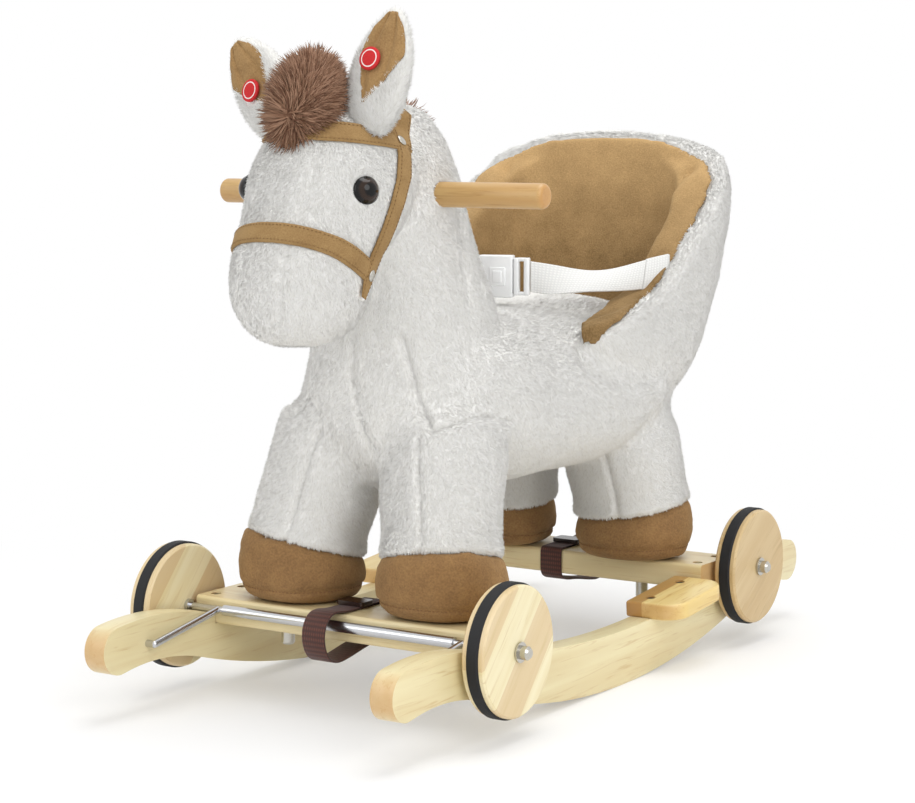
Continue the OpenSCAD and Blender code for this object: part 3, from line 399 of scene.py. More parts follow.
def tree_with(name, **inputs):
    """A Geometry Nodes tree with named inputs; gives the tree, their identifiers and their sockets by name."""
    tree = bpy.data.node_groups.new(name, "GeometryNodeTree")
    tree.is_modifier = True
    for way in ("INPUT", "OUTPUT"):
        tree.interface.new_socket("Geometry", in_out=way, socket_type="NodeSocketGeometry")
    keys = {label: tree.interface.new_socket(label, in_out="INPUT", socket_type="NodeSocket" + kind).identifier
        for kind, labels in inputs.items() for label in labels}
    return tree, keys, add(tree, "NodeGroupInput", out=None).outputs


def strand_tree():
    """Strands that stand on a surface, each turned from the normal towards the surface's lay, in three shades."""
    tree, keys, given = tree_with("strands", Float=("Density", "Length", "Width", "Lay", "Scatter", "Clump"),
        Int=("Seed",), Object=("Strand",), Material=("Shade A", "Shade B", "Shade C"))
    cover, lay, up, tone = (add(tree, "GeometryNodeInputNamedAttribute", {"Name": name}, data_type=kind)
        for name, kind in (("cover", "FLOAT"), ("lay", "FLOAT_VECTOR"), ("up", "FLOAT_VECTOR"), ("tone", "FLOAT")))
    dice, spin, tall, drawn_tone = (add(tree, "FunctionNodeRandomValue", {2: low, 3: high, "Seed": seed}, 1,
        data_type="FLOAT") for low, high, seed in ((0, 1, given["Seed"]), (-0.6, 0.6, 11), (0.65, 1.15, 5), (0, 1, 23)))
    loose = add(tree, "FunctionNodeRandomValue", {0: (-1, -1, -1), 1: (1, 1, 1), "Seed": 7}, data_type="FLOAT_VECTOR")
    # where strands stand
    sown = add(tree, "GeometryNodeDistributePointsOnFaces", {"Mesh": given["Geometry"], "Density": given["Density"],
        "Seed": given["Seed"]}, "Points")
    bare = add(tree, "FunctionNodeCompare", {0: dice, 1: cover}, data_type="FLOAT", operation="GREATER_EQUAL")
    left = add(tree, "GeometryNodeDeleteGeometry", {"Geometry": sown, "Selection": bare}, domain="POINT")
    # which way each one points: up, leaning with the lay, with swirls of one clump's size and some disorder
    scale = add(tree, "ShaderNodeMath", {0: 1.0, 1: given["Clump"]}, operation="DIVIDE")
    swirl = add(tree, "ShaderNodeTexNoise", {"Vector": add(tree, "GeometryNodeInputPosition"), "Scale": scale,
        "Detail": 2.0}, "Color")
    swirl = add(tree, "ShaderNodeVectorMath", {0: swirl, 1: (0.5, 0.5, 0.5)}, operation="SUBTRACT")
    stir = add(tree, "ShaderNodeMath", {0: given["Scatter"], 1: 3.0}, operation="MULTIPLY")
    way = up
    for pull, strength in ((lay, given["Lay"]), (swirl, stir), (loose, given["Scatter"])):
        step = add(tree, "ShaderNodeVectorMath", {0: pull, "Scale": strength}, operation="SCALE")
        way = add(tree, "ShaderNodeVectorMath", {0: way, 1: step}, operation="ADD")
    turned = add(tree, "FunctionNodeAlignRotationToVector", {"Vector": way}, axis="Z")
    turned = add(tree, "FunctionNodeAlignRotationToVector", {"Rotation": turned, "Vector": up}, axis="Y",
        pivot_axis="Z")
    spin = add(tree, "FunctionNodeAxisAngleToRotation", {"Axis": (0, 0, 1), "Angle": spin})
    turned = add(tree, "FunctionNodeRotateRotation", {0: turned, 1: spin}, rotation_space="LOCAL")
    tall = add(tree, "ShaderNodeMath", {0: tall, 1: given["Length"]}, operation="MULTIPLY")
    size = add(tree, "ShaderNodeCombineXYZ", {0: given["Width"], 1: tall, 2: tall})
    strand = add(tree, "GeometryNodeObjectInfo", {"Object": given["Strand"]}, "Geometry")
    stood = add(tree, "GeometryNodeInstanceOnPoints", {"Points": left, "Instance": strand, "Rotation": turned,
        "Scale": size})
    # three shades
    toned = add(tree, "GeometryNodeStoreNamedAttribute", {"Geometry": stood, "Name": "tone", "Value": drawn_tone},
        data_type="FLOAT", domain="INSTANCE")
    out = add(tree, "GeometryNodeRealizeInstances", {"Geometry": toned})
    out = add(tree, "GeometryNodeSetMaterial", {"Geometry": out, "Material": given["Shade A"]})
    for test, edge, label in (("LESS_THAN", 0.45, "Shade B"), ("GREATER_THAN", 0.82, "Shade C")):
        chosen = add(tree, "FunctionNodeCompare", {0: tone, 1: edge}, data_type="FLOAT", operation=test)
        out = add(tree, "GeometryNodeSetMaterial", {"Geometry": out, "Selection": chosen, "Material": given[label]})
    feed(tree, add(tree, "NodeGroupOutput", out=None), {0: out})
    return tree, keys


def stitch_tree():
    """Sewn stitches of one length along a path, each a small flattened grain."""
    tree, keys, given = tree_with("stitches", Float=("Pitch", "Length", "Width"), Material=("Thread",))
    line = add(tree, "GeometryNodeMeshToCurve", {"Mesh": given["Geometry"]})
    dots = add(tree, "GeometryNodeResampleCurve", {"Curve": line, "Length": given["Pitch"]}, mode="LENGTH")
    turned = add(tree, "FunctionNodeAlignRotationToVector", {"Vector": add(tree, "GeometryNodeInputTangent")}, axis="X")
    grain = add(tree, "GeometryNodeMeshUVSphere", {"Segments": 6, "Rings": 4, "Radius": 0.5})
    size = add(tree, "ShaderNodeCombineXYZ", {0: given["Length"], 1: given["Width"], 2: given["Width"]})
    out = add(tree, "GeometryNodeInstanceOnPoints", {"Points": dots, "Instance": grain, "Rotation": turned,
        "Scale": size})
    out = add(tree, "GeometryNodeRealizeInstances", {"Geometry": out})
    out = add(tree, "GeometryNodeSetMaterial", {"Geometry": out, "Material": given["Thread"]})
    feed(tree, add(tree, "NodeGroupOutput", out=None), {0: out})
    return tree, keys


def grown(ob, made, **sizes):
    """Runs a tree on an object and keeps what it gives as the object's plain mesh."""
    tree, keys = made
    run = ob.modifiers.new(tree.name, "NODES")
    run.node_group = tree
    for label, value in sizes.items():
        run[keys[label.replace("_", " ")]] = value
    return smoothed(settle(ob))


strands = strand_tree()
stitches = stitch_tree()

# strand of short pile: a three-sided spike, flat on its outer side; lock of long fur: a longer one that bends
pile_blade = piece("pile_blade", 1000 * np.array([[-0.5, 0.06, 0], [0.5, 0.06, 0], [0, -0.1, 0], [0, -0.12, 1]]),
    [(0, 3, 1), (1, 3, 2), (2, 3, 0)], WHITES[0])
spike = [[math.cos(a) * r, math.sin(a) * r * 0.05 + bend, z] for z, r, bend in
    ((0, 0.34, 0), (0.4, 0.5, 0.02), (0.78, 0.36, 0.10)) for a in (0.5, 2.6, 4.7)] + [[0, 0.24, 1]]
fur_lock = piece("fur_lock", 1000 * np.array(spike), [(k * 3 + i, k * 3 + (i + 1) % 3, k * 3 + 3 + (i + 1) % 3,
    k * 3 + 3 + i) for k in (0, 1) for i in range(3)] + [(6, 7, 9), (7, 8, 9), (8, 6, 9)], BROWNS[0])


def sewn(name, paths, body, color=thread, pitch=3.2, length=2.3, width=0.8):
    """Stitches along several paths of points in millimetres, as one piece."""
    verts, edges = [], []
    for path in paths:
        edges += [(len(verts) + i, len(verts) + i + 1) for i in range(len(path) - 1)]
        verts += list(path)
    mesh = bpy.data.meshes.new(name)
    mesh.from_pydata((np.array(verts) * MM).tolist(), edges, [])
    ob = grown(linked(name, mesh), stitches, Pitch=pitch * MM, Length=length * MM, Width=width * MM, Thread=color)
    return give(ob, body)


def furred(name, source, faces, lay, cover, density, length, width, lean, scatter, clump, seed, shades,
        strand, up=None, soft=0.5):
    """Strands over some faces of a piece, as a piece of its own; lay, up and cover are given for each point.
    They shade mostly as the surface under them does, as a dense pile does."""
    used = sorted({i for f in faces for i in f})
    index = {v: i for i, v in enumerate(used)}
    mesh = bpy.data.meshes.new(name)
    mesh.from_pydata(points(source)[used].tolist(), [], [[index[i] for i in f] for f in faces])
    ob = linked(name, mesh)
    up = normals(source) if up is None else up
    for label, kind, key, values in (("lay", "FLOAT_VECTOR", "vector", lay), ("up", "FLOAT_VECTOR", "vector", up),
            ("cover", "FLOAT", "value", cover)):
        mesh.attributes.new(label, kind, "POINT").data.foreach_set(key, np.asarray(values, np.float32)[used].ravel())
    grown(ob, strands, Density=density * 1e6, Length=length * MM, Width=width * MM, Lay=lean, Scatter=scatter,
        Clump=clump * MM, Seed=seed, Strand=strand, Shade_A=shades[0], Shade_B=shades[1], Shade_C=shades[2])
    out = np.empty(len(ob.data.vertices) * 3, np.float32)
    ob.data.attributes["up"].data.foreach_get("vector", out)
    shade = unit(out.reshape(-1, 3) + soft * normals(ob))
    for label in ("lay", "up", "cover", "tone"):
        if label in ob.data.attributes:
            ob.data.attributes.remove(ob.data.attributes[label])
    ob.data.normals_split_custom_set_from_vertices(shade.tolist())
    return give(ob, "frame")


# ---------------------------------------------------------------- soft forms

def oval(centre, a, b, lean=0.0, power=2.3, n=48):
    """Superellipse ring in millimetres: flat at lean 0, upright across the horse at 90."""
    t = np.linspace(0, 2 * math.pi, n, endpoint=False)
    x, y = (np.sign(f) * np.abs(f) ** (2 / power) for f in (np.cos(t), np.sin(t)))
    lean = math.radians(lean)
    return np.stack([centre[0] + a * x, centre[1] + b * y * math.cos(lean), centre[2] + b * y * math.sin(lean)], 1)


def stacked(table, foot, reach, half, **shape):
    """Rings of a form from a table of shares: of its reach in z and in y, of its half width and of its half depth."""
    return [oval((foot[0], foot[1] + v * reach[1], foot[2] + u * reach[0]), a * half[0], b * half[1], **shape)
        for u, v, a, b in table]


def turned(at, axis, profile, n):
    """Rings of a round shape about an axis, from its heights and radii in millimetres."""
    axis = np.asarray(axis, float)
    u = np.cross(axis, [0, 0, 1.0])
    u /= np.linalg.norm(u)
    w = np.cross(axis, u)
    t = np.linspace(0, 2 * math.pi, n, endpoint=False)[:, None]
    return [np.asarray(at) + h * axis + r * (np.cos(t) * u + np.sin(t) * w) for h, r in profile]


def loft(rings):
    """Points and faces of a closed skin over a stack of rings."""
    n, m = len(rings[0]), len(rings)
    sides = [(i * n + j, i * n + (j + 1) % n, (i + 1) * n + (j + 1) % n, (i + 1) * n + j)
        for i in range(m - 1) for j in range(n)]
    return np.concatenate(rings), sides + [tuple(range(n - 1, -1, -1)), tuple(range((m - 1) * n, m * n))]


def joined(parts):
    """Points and faces of several shells as one."""
    verts, faces, start = [], [], 0
    for v, f in parts:
        faces += [tuple(start + i for i in face) for face in f]
        verts.append(v)
        start += len(v)
    return np.concatenate(verts), faces


def faced_out(ob):
    """Turns every face outwards."""
    with reworked(ob) as work:
        bmesh.ops.recalc_face_normals(work, faces=work.faces)
    return ob


def outward(ob):
    """Merges doubles and turns every face outwards."""
    with reworked(ob) as work:
        bmesh.ops.remove_doubles(work, verts=work.verts, dist=1e-6)
        bmesh.ops.recalc_face_normals(work, faces=work.faces)
    return ob


def voxelled(ob, size, ease):
    """One continuous skin over all shells of an object, eased by so many passes, with inner shells left out."""
    outward(ob)
    grid = ob.modifiers.new("voxels", "REMESH")
    grid.mode = "VOXEL"
    grid.voxel_size = size * MM
    settle(ob)
    with reworked(ob) as work:
        seen, shells = set(), []
        for start in work.verts:
            if start in seen:
                continue
            seen.add(start)
            shell, edge = [start], [start]
            while edge:
                for link in edge.pop().link_edges:
                    for v in link.verts:
                        if v not in seen:
                            seen.add(v)
                            shell.append(v)
                            edge.append(v)
            shells.append(shell)
        most = max(len(s) for s in shells)
        for shell in shells:
            if len(shell) < 0.3 * most:
                bmesh.ops.delete(work, geom=shell, context="VERTS")
        for _ in range(ease):
            bmesh.ops.smooth_vert(work, verts=work.verts, factor=0.5, use_axis_x=True, use_axis_y=True, use_axis_z=True)
    return smoothed(ob)


def stuffed(ob, pressure, most, frames, still):
    """Swells a cover over its filling with Cloth pressure, each point by at most so many millimetres."""
    rest = points(ob)
    cloth = ob.modifiers.new("filling", "CLOTH")
    cloth.settings.use_pressure = True
    cloth.settings.uniform_pressure_force = pressure
    cloth.settings.effector_weights.gravity = 0
    cloth.settings.quality = 4
    cloth.settings.mass = 0.3
    cloth.settings.tension_stiffness = 20
    cloth.settings.compression_stiffness = 20
    cloth.settings.bending_stiffness = 2
    cloth.collision_settings.use_collision = False
    for f in range(1, frames + 1):
        scene.frame_set(f)
    moved = points(ob.evaluated_get(bpy.context.evaluated_depsgraph_get()))
    ob.modifiers.clear()
    scene.frame_set(1)
    step = moved - rest
    far = np.linalg.norm(step, axis=1)
    step *= np.minimum(1, most * MM / np.maximum(far, 1e-9))[:, None]
    place(ob, rest + step * (1 - still)[:, None])


def finer(ob):
    """One level of subdivision."""
    more = ob.modifiers.new("finer", "SUBSURF")
    more.levels = more.render_levels = 1
    return settle(ob)


def to_line(co, path):
    """Distance in millimetres of each point from a path of points in millimetres."""
    p = co / MM
    best = np.full(len(p), 1e9)
    for a, b in zip(path[:-1], path[1:]):
        a, d = np.asarray(a, float), np.asarray(b, float) - np.asarray(a, float)
        t = np.clip(((p - a) @ d) / max(d @ d, 1e-6), 0, 1)
        best = np.minimum(best, np.linalg.norm(p - a - t[:, None] * d, axis=1))
    return best


def creased(ob, path, wide, deep):
    """Presses a groove along a path into a soft piece; gives how much each point takes part in it."""
    share = np.exp(-(to_line(points(ob), path) / wide) ** 2)
    swell(ob, -deep * share)
    return share


def copied(name, node, material):
    """A merged copy of a CAD node's mesh as a new piece."""
    ob = linked(name, nodes[node].data.copy())
    ob.data.materials.clear()
    ob.data.materials.append(material)
    with reworked(ob) as work:
        bmesh.ops.remove_doubles(work, verts=work.verts, dist=1e-5)
    return ob


def shell_of(node):
    """Points in millimetres and faces of a CAD node."""
    form = copied(node + "_form", node, ground)
    shell = points(form) / MM, polygons(form)
    bpy.data.objects.remove(form)
    return shell


# ---------------------------------------------------------------- stuffed horse

# shares of each form's height and reach, half width and half depth
BODY = [[0, 0.5, 0.30, 0.35], [0, 0.47, 0.62, 0.66], [0, 0.40, 0.88, 0.90], [0, 0.28, 1, 1], [0, 0.12, 0.99, 0.98],
    [-0.01, -0.05, 0.94, 0.96], [0, -0.20, 0.88, 1], [0.02, -0.32, 0.78, 1.02], [0.03, -0.41, 0.64, 0.92],
    [0.03, -0.47, 0.44, 0.68], [0.03, -0.5, 0.22, 0.34]]
NECK = [[0, 0, 1, 0.95], [0.15, 0.06, 1, 1], [0.30, 0.19, 0.92, 0.95], [0.46, 0.34, 0.82, 0.87],
    [0.61, 0.5, 0.75, 0.83], [0.74, 0.63, 0.73, 0.81], [0.86, 0.77, 0.70, 0.74], [0.95, 0.91, 0.60, 0.60],
    [1, 1, 0.33, 0.33]]
HEAD = [[0, 0.94, 0.24, 0.21], [0.026, 0.94, 0.48, 0.41], [0.083, 0.94, 0.65, 0.58], [0.167, 0.94, 0.77, 0.67],
    [0.266, 0.915, 0.80, 0.72], [0.37, 0.79, 0.83, 0.77], [0.469, 0.52, 0.91, 0.86], [0.568, 0.31, 0.97, 0.92],
    [0.667, 0.17, 0.985, 0.975], [0.766, 0.085, 0.925, 0.935], [0.854, 0.04, 0.80, 0.81], [0.927, 0.015, 0.62, 0.615],
    [0.969, 0, 0.42, 0.42], [1, 0, 0.20, 0.19]]
# share of the height, half width and half depth
LEG = [[0, 0.95, 0.92], [0.11, 0.96, 0.94], [0.35, 1, 0.98], [0.635, 1.04, 1.04], [0.88, 1.02, 1.02], [1, 0.78, 0.78]]
HOOF = [[0, 0.71, 0.72], [0.08, 0.86, 0.86], [0.24, 0.955, 0.96], [0.5, 1, 1], [0.79, 0.96, 0.97], [1, 0.88, 0.89]]
# foot, reach and half sizes of the forms in millimetres
BODY_FORM = BODY, (0, 10, 240), (150, 400), (122, 75)
NECK_FORM = NECK, (0, -100, 225), (263, -70), (84, 84)
HEAD_FORM = HEAD, (0, -187, 296), (194, -71), (66, 78)
# middle of the hoof and of the hip, sideways and lengthways
FRONT_LEG, REAR_LEG = (68.5, 158.5, 46, 127), (71, 154, 55, 136)
HOOVES = [(s, d, s * x, d * y, s * hx, d * hy) for d, (x, y, hx, hy) in ((-1, FRONT_LEG), (1, REAR_LEG))
    for s in (1, -1)]
ANKLE, LEG_TALL = 118, 117
HEM = 126
UNDER = 3.0       # the ground lies under the pile by so many millimetres before the filling swells it


def form_ring(form, z, grow=0.0):
    """Middle y, half width and half depth of a form at a height."""
    table, foot, reach, half = form
    s = np.array(table)
    q = np.clip((z - foot[2]) / reach[0], 0, 1)
    return foot[1] + reach[1] * np.interp(q, s[:, 0], s[:, 1]), half[0] * np.interp(q, s[:, 0], s[:, 2]) + grow, \
        half[1] * np.interp(q, s[:, 0], s[:, 3]) + grow


def leg_middle(hoof, z):
    """Middle of a leg at a height."""
    _, _, x, y, hx, hy = hoof
    t = (z - ANKLE) / LEG_TALL
    return x + t * (hx - x), y + t * (hy - y), z


def hem(p):
    """Height of the plush hem over the hoof at points in millimetres: square to the leg."""
    front = p[:, 1] < 0
    x, y, hx, hy = (np.where(front, a, b) for a, b in zip(FRONT_LEG, REAR_LEG))
    return HEM + 0.8 * ((x - hx) / LEG_TALL * (np.abs(p[:, 0]) - x) + (y - hy) / LEG_TALL * (np.abs(p[:, 1]) - y))


def leg_ring(hoof, q):
    """One ring of a leg; its foot runs down along the hem, and a front leg widens backwards at the shoulder."""
    wide = 54 if hoof[1] > 0 else 51
    up = max(0.0, q[0] - 0.3) / 0.7 if hoof[1] < 0 else 0.0
    x, y, z = leg_middle(hoof, 122 + q[0] * 128)
    ring = oval((x, y + 10 * up, z), q[1] * wide * (1 + 0.06 * up), q[2] * wide * (1 + 0.24 * up), power=2.2)
    ring[:, 2] += (1 - q[0]) ** 6 * (hem(ring) - 134)
    return ring


shells = [loft(stacked(*BODY_FORM, lean=90)[::-1]), loft(stacked(*NECK_FORM)), loft(stacked(*HEAD_FORM))]
shells += [loft([leg_ring(hoof, q) for q in LEG]) for hoof in HOOVES]
shells.append(shell_of("seat_back"))
skin = piece("stuffed_horse", *joined(shells), ground)
voxelled(skin, 5.6, 4)
swell(skin, -UNDER)
co = points(skin) / MM
foot = np.clip(1 - (co[:, 2] - hem(co) + 2) / 12, 0, 1)
stuffed(skin, 4.0, 3.0, 20, foot)
finer(skin)

# the forms are sewn together where they meet; the filling leaves soft lumps
forms = [BVHTree.FromPolygons((v * MM).tolist(), [list(f) for f in faces]) for v, faces in shells]
co = points(skin)
gaps = np.sort([[form.find_nearest(p)[3] / MM for p in co.tolist()] for form in forms], axis=0)
seam = np.exp(-((gaps[0] ** 2 + gaps[1] ** 2) / 8.0 ** 2))
lumps = 1.3 * rough(co, 42, 1) + 0.5 * rough(co, 15, 2)
above = co[:, 2] / MM - hem(co / MM)
lumps *= np.clip(above / 10, 0, 1)
lumps += np.where(above < 0, -6 * np.clip(-above / 3, 0, 1), 2.5 * np.clip(1 - above / 16, 0, 1))
swell(skin, lumps - 4.2 * seam)


def face_front(x, z):
    """A point just under the front of the face."""
    y, a, b = form_ring(HEAD_FORM, z)
    return x, y - b * (1 - abs(x / a) ** 2.3) ** (1 / 2.3) + 3, z


# sewn seams and folds, each a path, its width and its depth: both sides of the face's gusset, down the neck, over
# each shoulder and thigh, down the chest and down each leg
GUSSET = [face_front(x, z) for x, z in ((20, 470), (24, 450), (26, 430), (25, 410), (22, 392), (20, 375), (20, 355),
    (19, 335), (14, 315))]
NECK_SIDE = (58, -118, 395), (66, -120, 360), (74, -122, 320), (82, -124, 285)
SHOULDER = ((46, -180, 300), (50, -177, 284), (55, -174, 266), (60, -172, 247), (70, -176, 230), (82, -161, 236),
    (89, -141, 238), (95, -118, 238), (99, -95, 228))
THIGH = (99, 6, 282), (109, 6, 269), (114, 15, 259), (118, 41, 251)
CHEST = (3, -191, 296), (0, -191, 264), (5, -190, 244), (11, -188, 224), (19, -180, 204)
folds = [(mirrored(path, side), wide, deep) for side, _ in SIDES for path, wide, deep in
    ((GUSSET, 3.0, 1.4), (NECK_SIDE, 6, 2.4), (SHOULDER, 3.0, 4.0), (THIGH, 4.2, 4.0))] + [(CHEST, 2.8, 3.6)]
for hoof in HOOVES:
    middles = [leg_middle(hoof, z) for z in (120, 145, 170, 195, 222)]
    folds.append(([(x + 12, y - (53 if hoof[1] > 0 else 50), z) for x, y, z in middles], 2.6, 3.2))
thin = 0.6 * seam
ground_tree = tree_of(skin)
for path, wide, deep in folds:
    line = [np.array(ground_tree.find_nearest(Vector(p) * MM)[0]) / MM for p in between_corners(path, 8 * len(path))]
    thin = np.maximum(thin, creased(skin, line, wide, deep) * min(1.0, deep / 3.5))


# ---------------------------------------------------------------- bridle

# ends of each strap as shares of the head's depth and height, and its width
BROW = ([-0.02, 0.81], [0.64, 0.885]), 16
CHEEK = ([0.34, 0.20], [0.01, 0.87]), 16
CROWN = ([0.03, 0.81], [-0.13, 1.10]), 20
NOSE = ([0.27, 0.285], [0.87, 0.56]), 16
# across a strap: share of its half width, and height over the skin
STRAP_SECTION = [(-1, 0.2), (-1, 1.3), (-0.9, 2.2), (-0.45, 2.5), (0, 2.55), (0.45, 2.5), (0.9, 2.2), (1, 1.3),
    (1, 0.2), (0, 0.2)]
NAP = 1.2       # straps lie on the pile, so many millimetres over the skin
skin_tree = tree_of(skin)


def half_width(y, z, grow):
    """How far the head or the top of the neck reaches sideways in the side view at a point."""
    wide = np.zeros_like(y)
    for form in (HEAD_FORM, NECK_FORM):
        c, a, b = form_ring(form, z, grow)
        wide = np.maximum(wide, a * np.clip(1 - np.abs((y - c) / b) ** 2.3, 0, 1) ** (1 / 2.3))
    return wide


def face_point(q):
    """Depth and height in the side view of a point that is given in shares of the head."""
    return np.array([-187 - q[0] * 156, 296 + q[1] * 194])


def strap_way(ends):
    """Start of a strap in the side view, its direction and its length."""
    p, q = face_point(ends[0]), face_point(ends[1])
    length = np.linalg.norm(q - p)
    return p, (q - p) / length, length


def strap_line(ends, off, grow, over, n):
    """Points of a strap's line on the head: up one side, and where over is true across the head and down the other."""
    p, way, length = strap_way(ends)
    p = p + off * np.array([-way[1], way[0]])
    t = np.linspace(0, length, 900)
    y, z = p[0] + t * way[0], p[1] + t * way[1]
    x = half_width(y, z, grow)
    path = np.stack([x, y, z], 1)
    if over:
        gone = np.flatnonzero(x <= 0.4)
        path = path[:gone[0] if len(gone) else len(t)]
        path = np.concatenate([path, path[-1:] * (0, 1, 1), path[::-1] * (-1, 1, 1)])
    return even_steps(path, n)


def hugged(rows, heights):
    """Rows of points along a strap, brought down to so many millimetres over the pile and evened along the strap."""
    moved = []
    for row, h in zip(rows, heights):
        on = [skin_tree.find_nearest(Vector(p) * MM) for p in row]
        step = np.array([np.array(q + n * (h + NAP) * MM) / MM for q, n, _, _ in on]) - row
        wide = np.concatenate([np.repeat(step[:1], 6, 0), step, np.repeat(step[-1:], 6, 0)])
        moved.append(row + np.stack([np.convolve(axis, np.full(13, 1 / 13), "valid") for axis in wide.T], 1))
    return moved


def strap(kind, over, side=1, lift=0.0, n=90, taper=0.0):
    """A flat suede strap with soft edges on the head, and the lines of its two rows of stitches."""
    ends, width = kind
    rows = hugged([strap_line(ends, f * width / 2, h + lift, over, n) * (side, 1, 1) for f, h in STRAP_SECTION],
        [h + lift for _, h in STRAP_SECTION])
    lines = hugged([strap_line(ends, f * width / 2, 2.55 + lift, over, n) * (side, 1, 1) for f in (-0.74, 0.74)],
        [2.6 + lift] * 2)
    if taper:
        run = np.linspace(0, strap_way(ends)[2], n)
        for row in rows + lines:
            row += (rows[4] - row) * (0.6 * np.clip(1 - run / taper, 0, 1))[:, None]
    return loft(np.stack(rows, 1)), lines


made = [strap(BROW, True, n=140), strap(CHEEK, False, 1, 0.4, taper=18), strap(CHEEK, False, -1, 0.4, taper=18),
    strap(CROWN, True, 1, 0.8, n=100)]
headstall = outward(piece("headstall_suede", *joined([shell for shell, _ in made]), suede_bridle))
give(headstall, "frame", ["headstall"])
nose_strap = strap(NOSE, True, n=140)
noseband = outward(piece("noseband_suede", *nose_strap[0], suede_bridle))
give(noseband, "frame", ["noseband"])
sewn("bridle_stitches", [line for _, lines in made + [nose_strap] for line in lines], "frame", length=2.0,
    width=0.7)

# rivets: a domed head on a flat flange, square to the strap
RIVET = (-2.0, 4.0), (0.0, 4.6), (0.5, 4.6), (0.7, 4.2), (1.1, 3.4), (1.45, 2.2), (1.6, 0.8)
rivets = []
for q, out in (((0.30, 0.29), 2.9), ((0.045, 0.815), 3.3)):
    y, z = face_point(q)
    for side, _ in SIDES:
        reach = half_width(np.array([y]), np.array([z]), 0)[0]
        spot, n, _, _ = skin_tree.find_nearest(Vector((side * reach, y, z)) * MM)
        rivets.append(loft(turned(np.array(spot) / MM + np.array(n) * (out + NAP), n, RIVET, 28)))
studs = outward(piece("bridle_rivet_studs", *joined(rivets), cap_steel))
give(studs, "frame", ["bridle_rivets"])


# ---------------------------------------------------------------- eyes

EYE_R = 10.8
EYE = ((-5, 9.0), (-1, 10.6), (1.6, EYE_R), (2.4, 10.2), (3.0, 9.6), (4.6, 8.6), (6.0, 7.2), (7.2, 5.4), (7.9, 3.4),
    (8.25, 1.4), (8.3, 0.2))
eye_parts, eye_spots = [], []
for side, _ in SIDES:
    aim = Vector((side * 0.90, -0.40, 0.12)).normalized()
    hit = skin_tree.ray_cast(Vector((side * 53, -240, 416)) * MM + aim * 0.06, -aim)[0]
    eye_spots.append(np.array(hit) / MM)
    eye_parts.append(loft(turned(eye_spots[-1], aim, EYE, 40)))
eyes = piece("eye_domes", *joined(eye_parts), eye_shine)
eyes.data.attributes.new("ring", "FLOAT", "POINT").data.foreach_set("value",
    np.tile(np.repeat([r / EYE_R for _, r in EYE], 40), 2))
faced_out(eyes)
give(eyes, "frame", ["eyes"])


# ---------------------------------------------------------------- hooves

HOOF_FOOT, HOOF_TALL, HOOF_WIDE, HOOF_DEEP = 79.5, 46, 53.5, 50
hoof_parts, hoof_lines = [], []
for hoof in HOOVES:
    x, y = hoof[2:4]
    rings = [oval((x, y, HOOF_FOOT + q[0] * HOOF_TALL), q[1] * HOOF_WIDE, q[2] * HOOF_DEEP, power=2.2) for q in HOOF]
    for q, ring in zip(HOOF, rings):
        ring[:, 2] += q[0] ** 1.5 * (hem(ring) - HEM)
    hoof_parts.append(loft(rings))
    ring = oval((x, y, HOOF_FOOT + 11), 0.955 * HOOF_WIDE + 0.5, 0.96 * HOOF_DEEP + 0.5, power=2.2, n=80)
    hoof_lines.append(np.concatenate([ring, ring[:1]]))
hooves = piece("hoof_pads", *joined(hoof_parts), suede_hoof)
voxelled(hooves, 4.0, 2)
low = np.clip(1 - (points(hooves)[:, 2] / MM - HOOF_FOOT) / 4, 0, 1)
stuffed(hooves, 4.0, 2.5, 18, low)
finer(hooves)
for line in hoof_lines:
    creased(hooves, line, 2.4, 2.2)
# broad and fine wrinkles, and folds that stand up near the sole, which stays flat
co = points(hooves)
sag = rough(co * (1, 1, 0.6), 26, 3) * 1.9 + rough(co * (1, 1, 1.8), 11, 4) * 0.6
sag += rough(co * (1, 1, 0.3), 11, 9) * 1.5 * np.clip((104 - co[:, 2] / MM) / 22, 0, 1)
swell(hooves, sag * np.clip((co[:, 2] / MM - 80) / 5, 0, 1))
co = points(hooves)
co[:, 2] = np.maximum(co[:, 2], 78.7 * MM)
place(hooves, co)
give(hooves, "frame", ["hooves"])
hoof_tree = tree_of(hooves)


def laid_on(path, hoof):
    """A path pressed onto a hoof from outside, just over its surface."""
    out = []
    for p in path:
        way = Vector((p[0] - hoof[2], p[1] - hoof[3], 0)).normalized()
        hit, n, _, _ = hoof_tree.ray_cast(Vector(p) * MM + way * 0.03, -way)
        if hit is not None:
            out.append(np.array(hit + n * 0.1 * MM) / MM)
    return out


sewn("hoof_stitches", [laid_on(line, hoof) for line, hoof in zip(hoof_lines, HOOVES)], "frame",
    hoof_thread, 3.4, 2.4, 0.9)


# ---------------------------------------------------------------- bucket seat

# the lining's front corners run down over the wings in a tongue that lies on the plush: its inner and its outer edge
TONGUE = (((88, 52, 311), (89.6, 28.8, 301.4), (95.0, 15.0, 297.0), (99.5, 6.2, 292.0), (100.4, 6.4, 284.6)),
    ((116.6, 86.4, 321.0), (119.1, 59.1, 311.7), (121.2, 34.3, 303.3), (116.2, 20.4, 291.0), (108.5, 12.9, 280.7)))
FAR = 0.03      # rays onto the plush start so far over the tongue, in metres
shells = [shell_of("seat_lining")]
for side, _ in SIDES:
    out = Vector((side * 0.152, -0.476, 0.866))
    rings = []
    for a, b in zip(*(between_corners(edge, 19) for edge in TONGUE)):
        top = []
        for f in np.linspace(0, 1, 9):
            p = Vector((a + (b - a) * f) * (side, 1, 1)) * MM
            found = [form.ray_cast(p + out * FAR, -out, 2 * FAR)[3] for form in (forms[0], forms[-1])]
            far = min([h for h in found if h is not None], default=FAR)
            top.append(np.array(p + out * (FAR - far)) / MM)
        rings.append(np.array([t + 2.2 * np.array(out) for t in top] + [t - 4.0 * np.array(out) for t in top[::-1]]))
    shells.append(loft(rings))
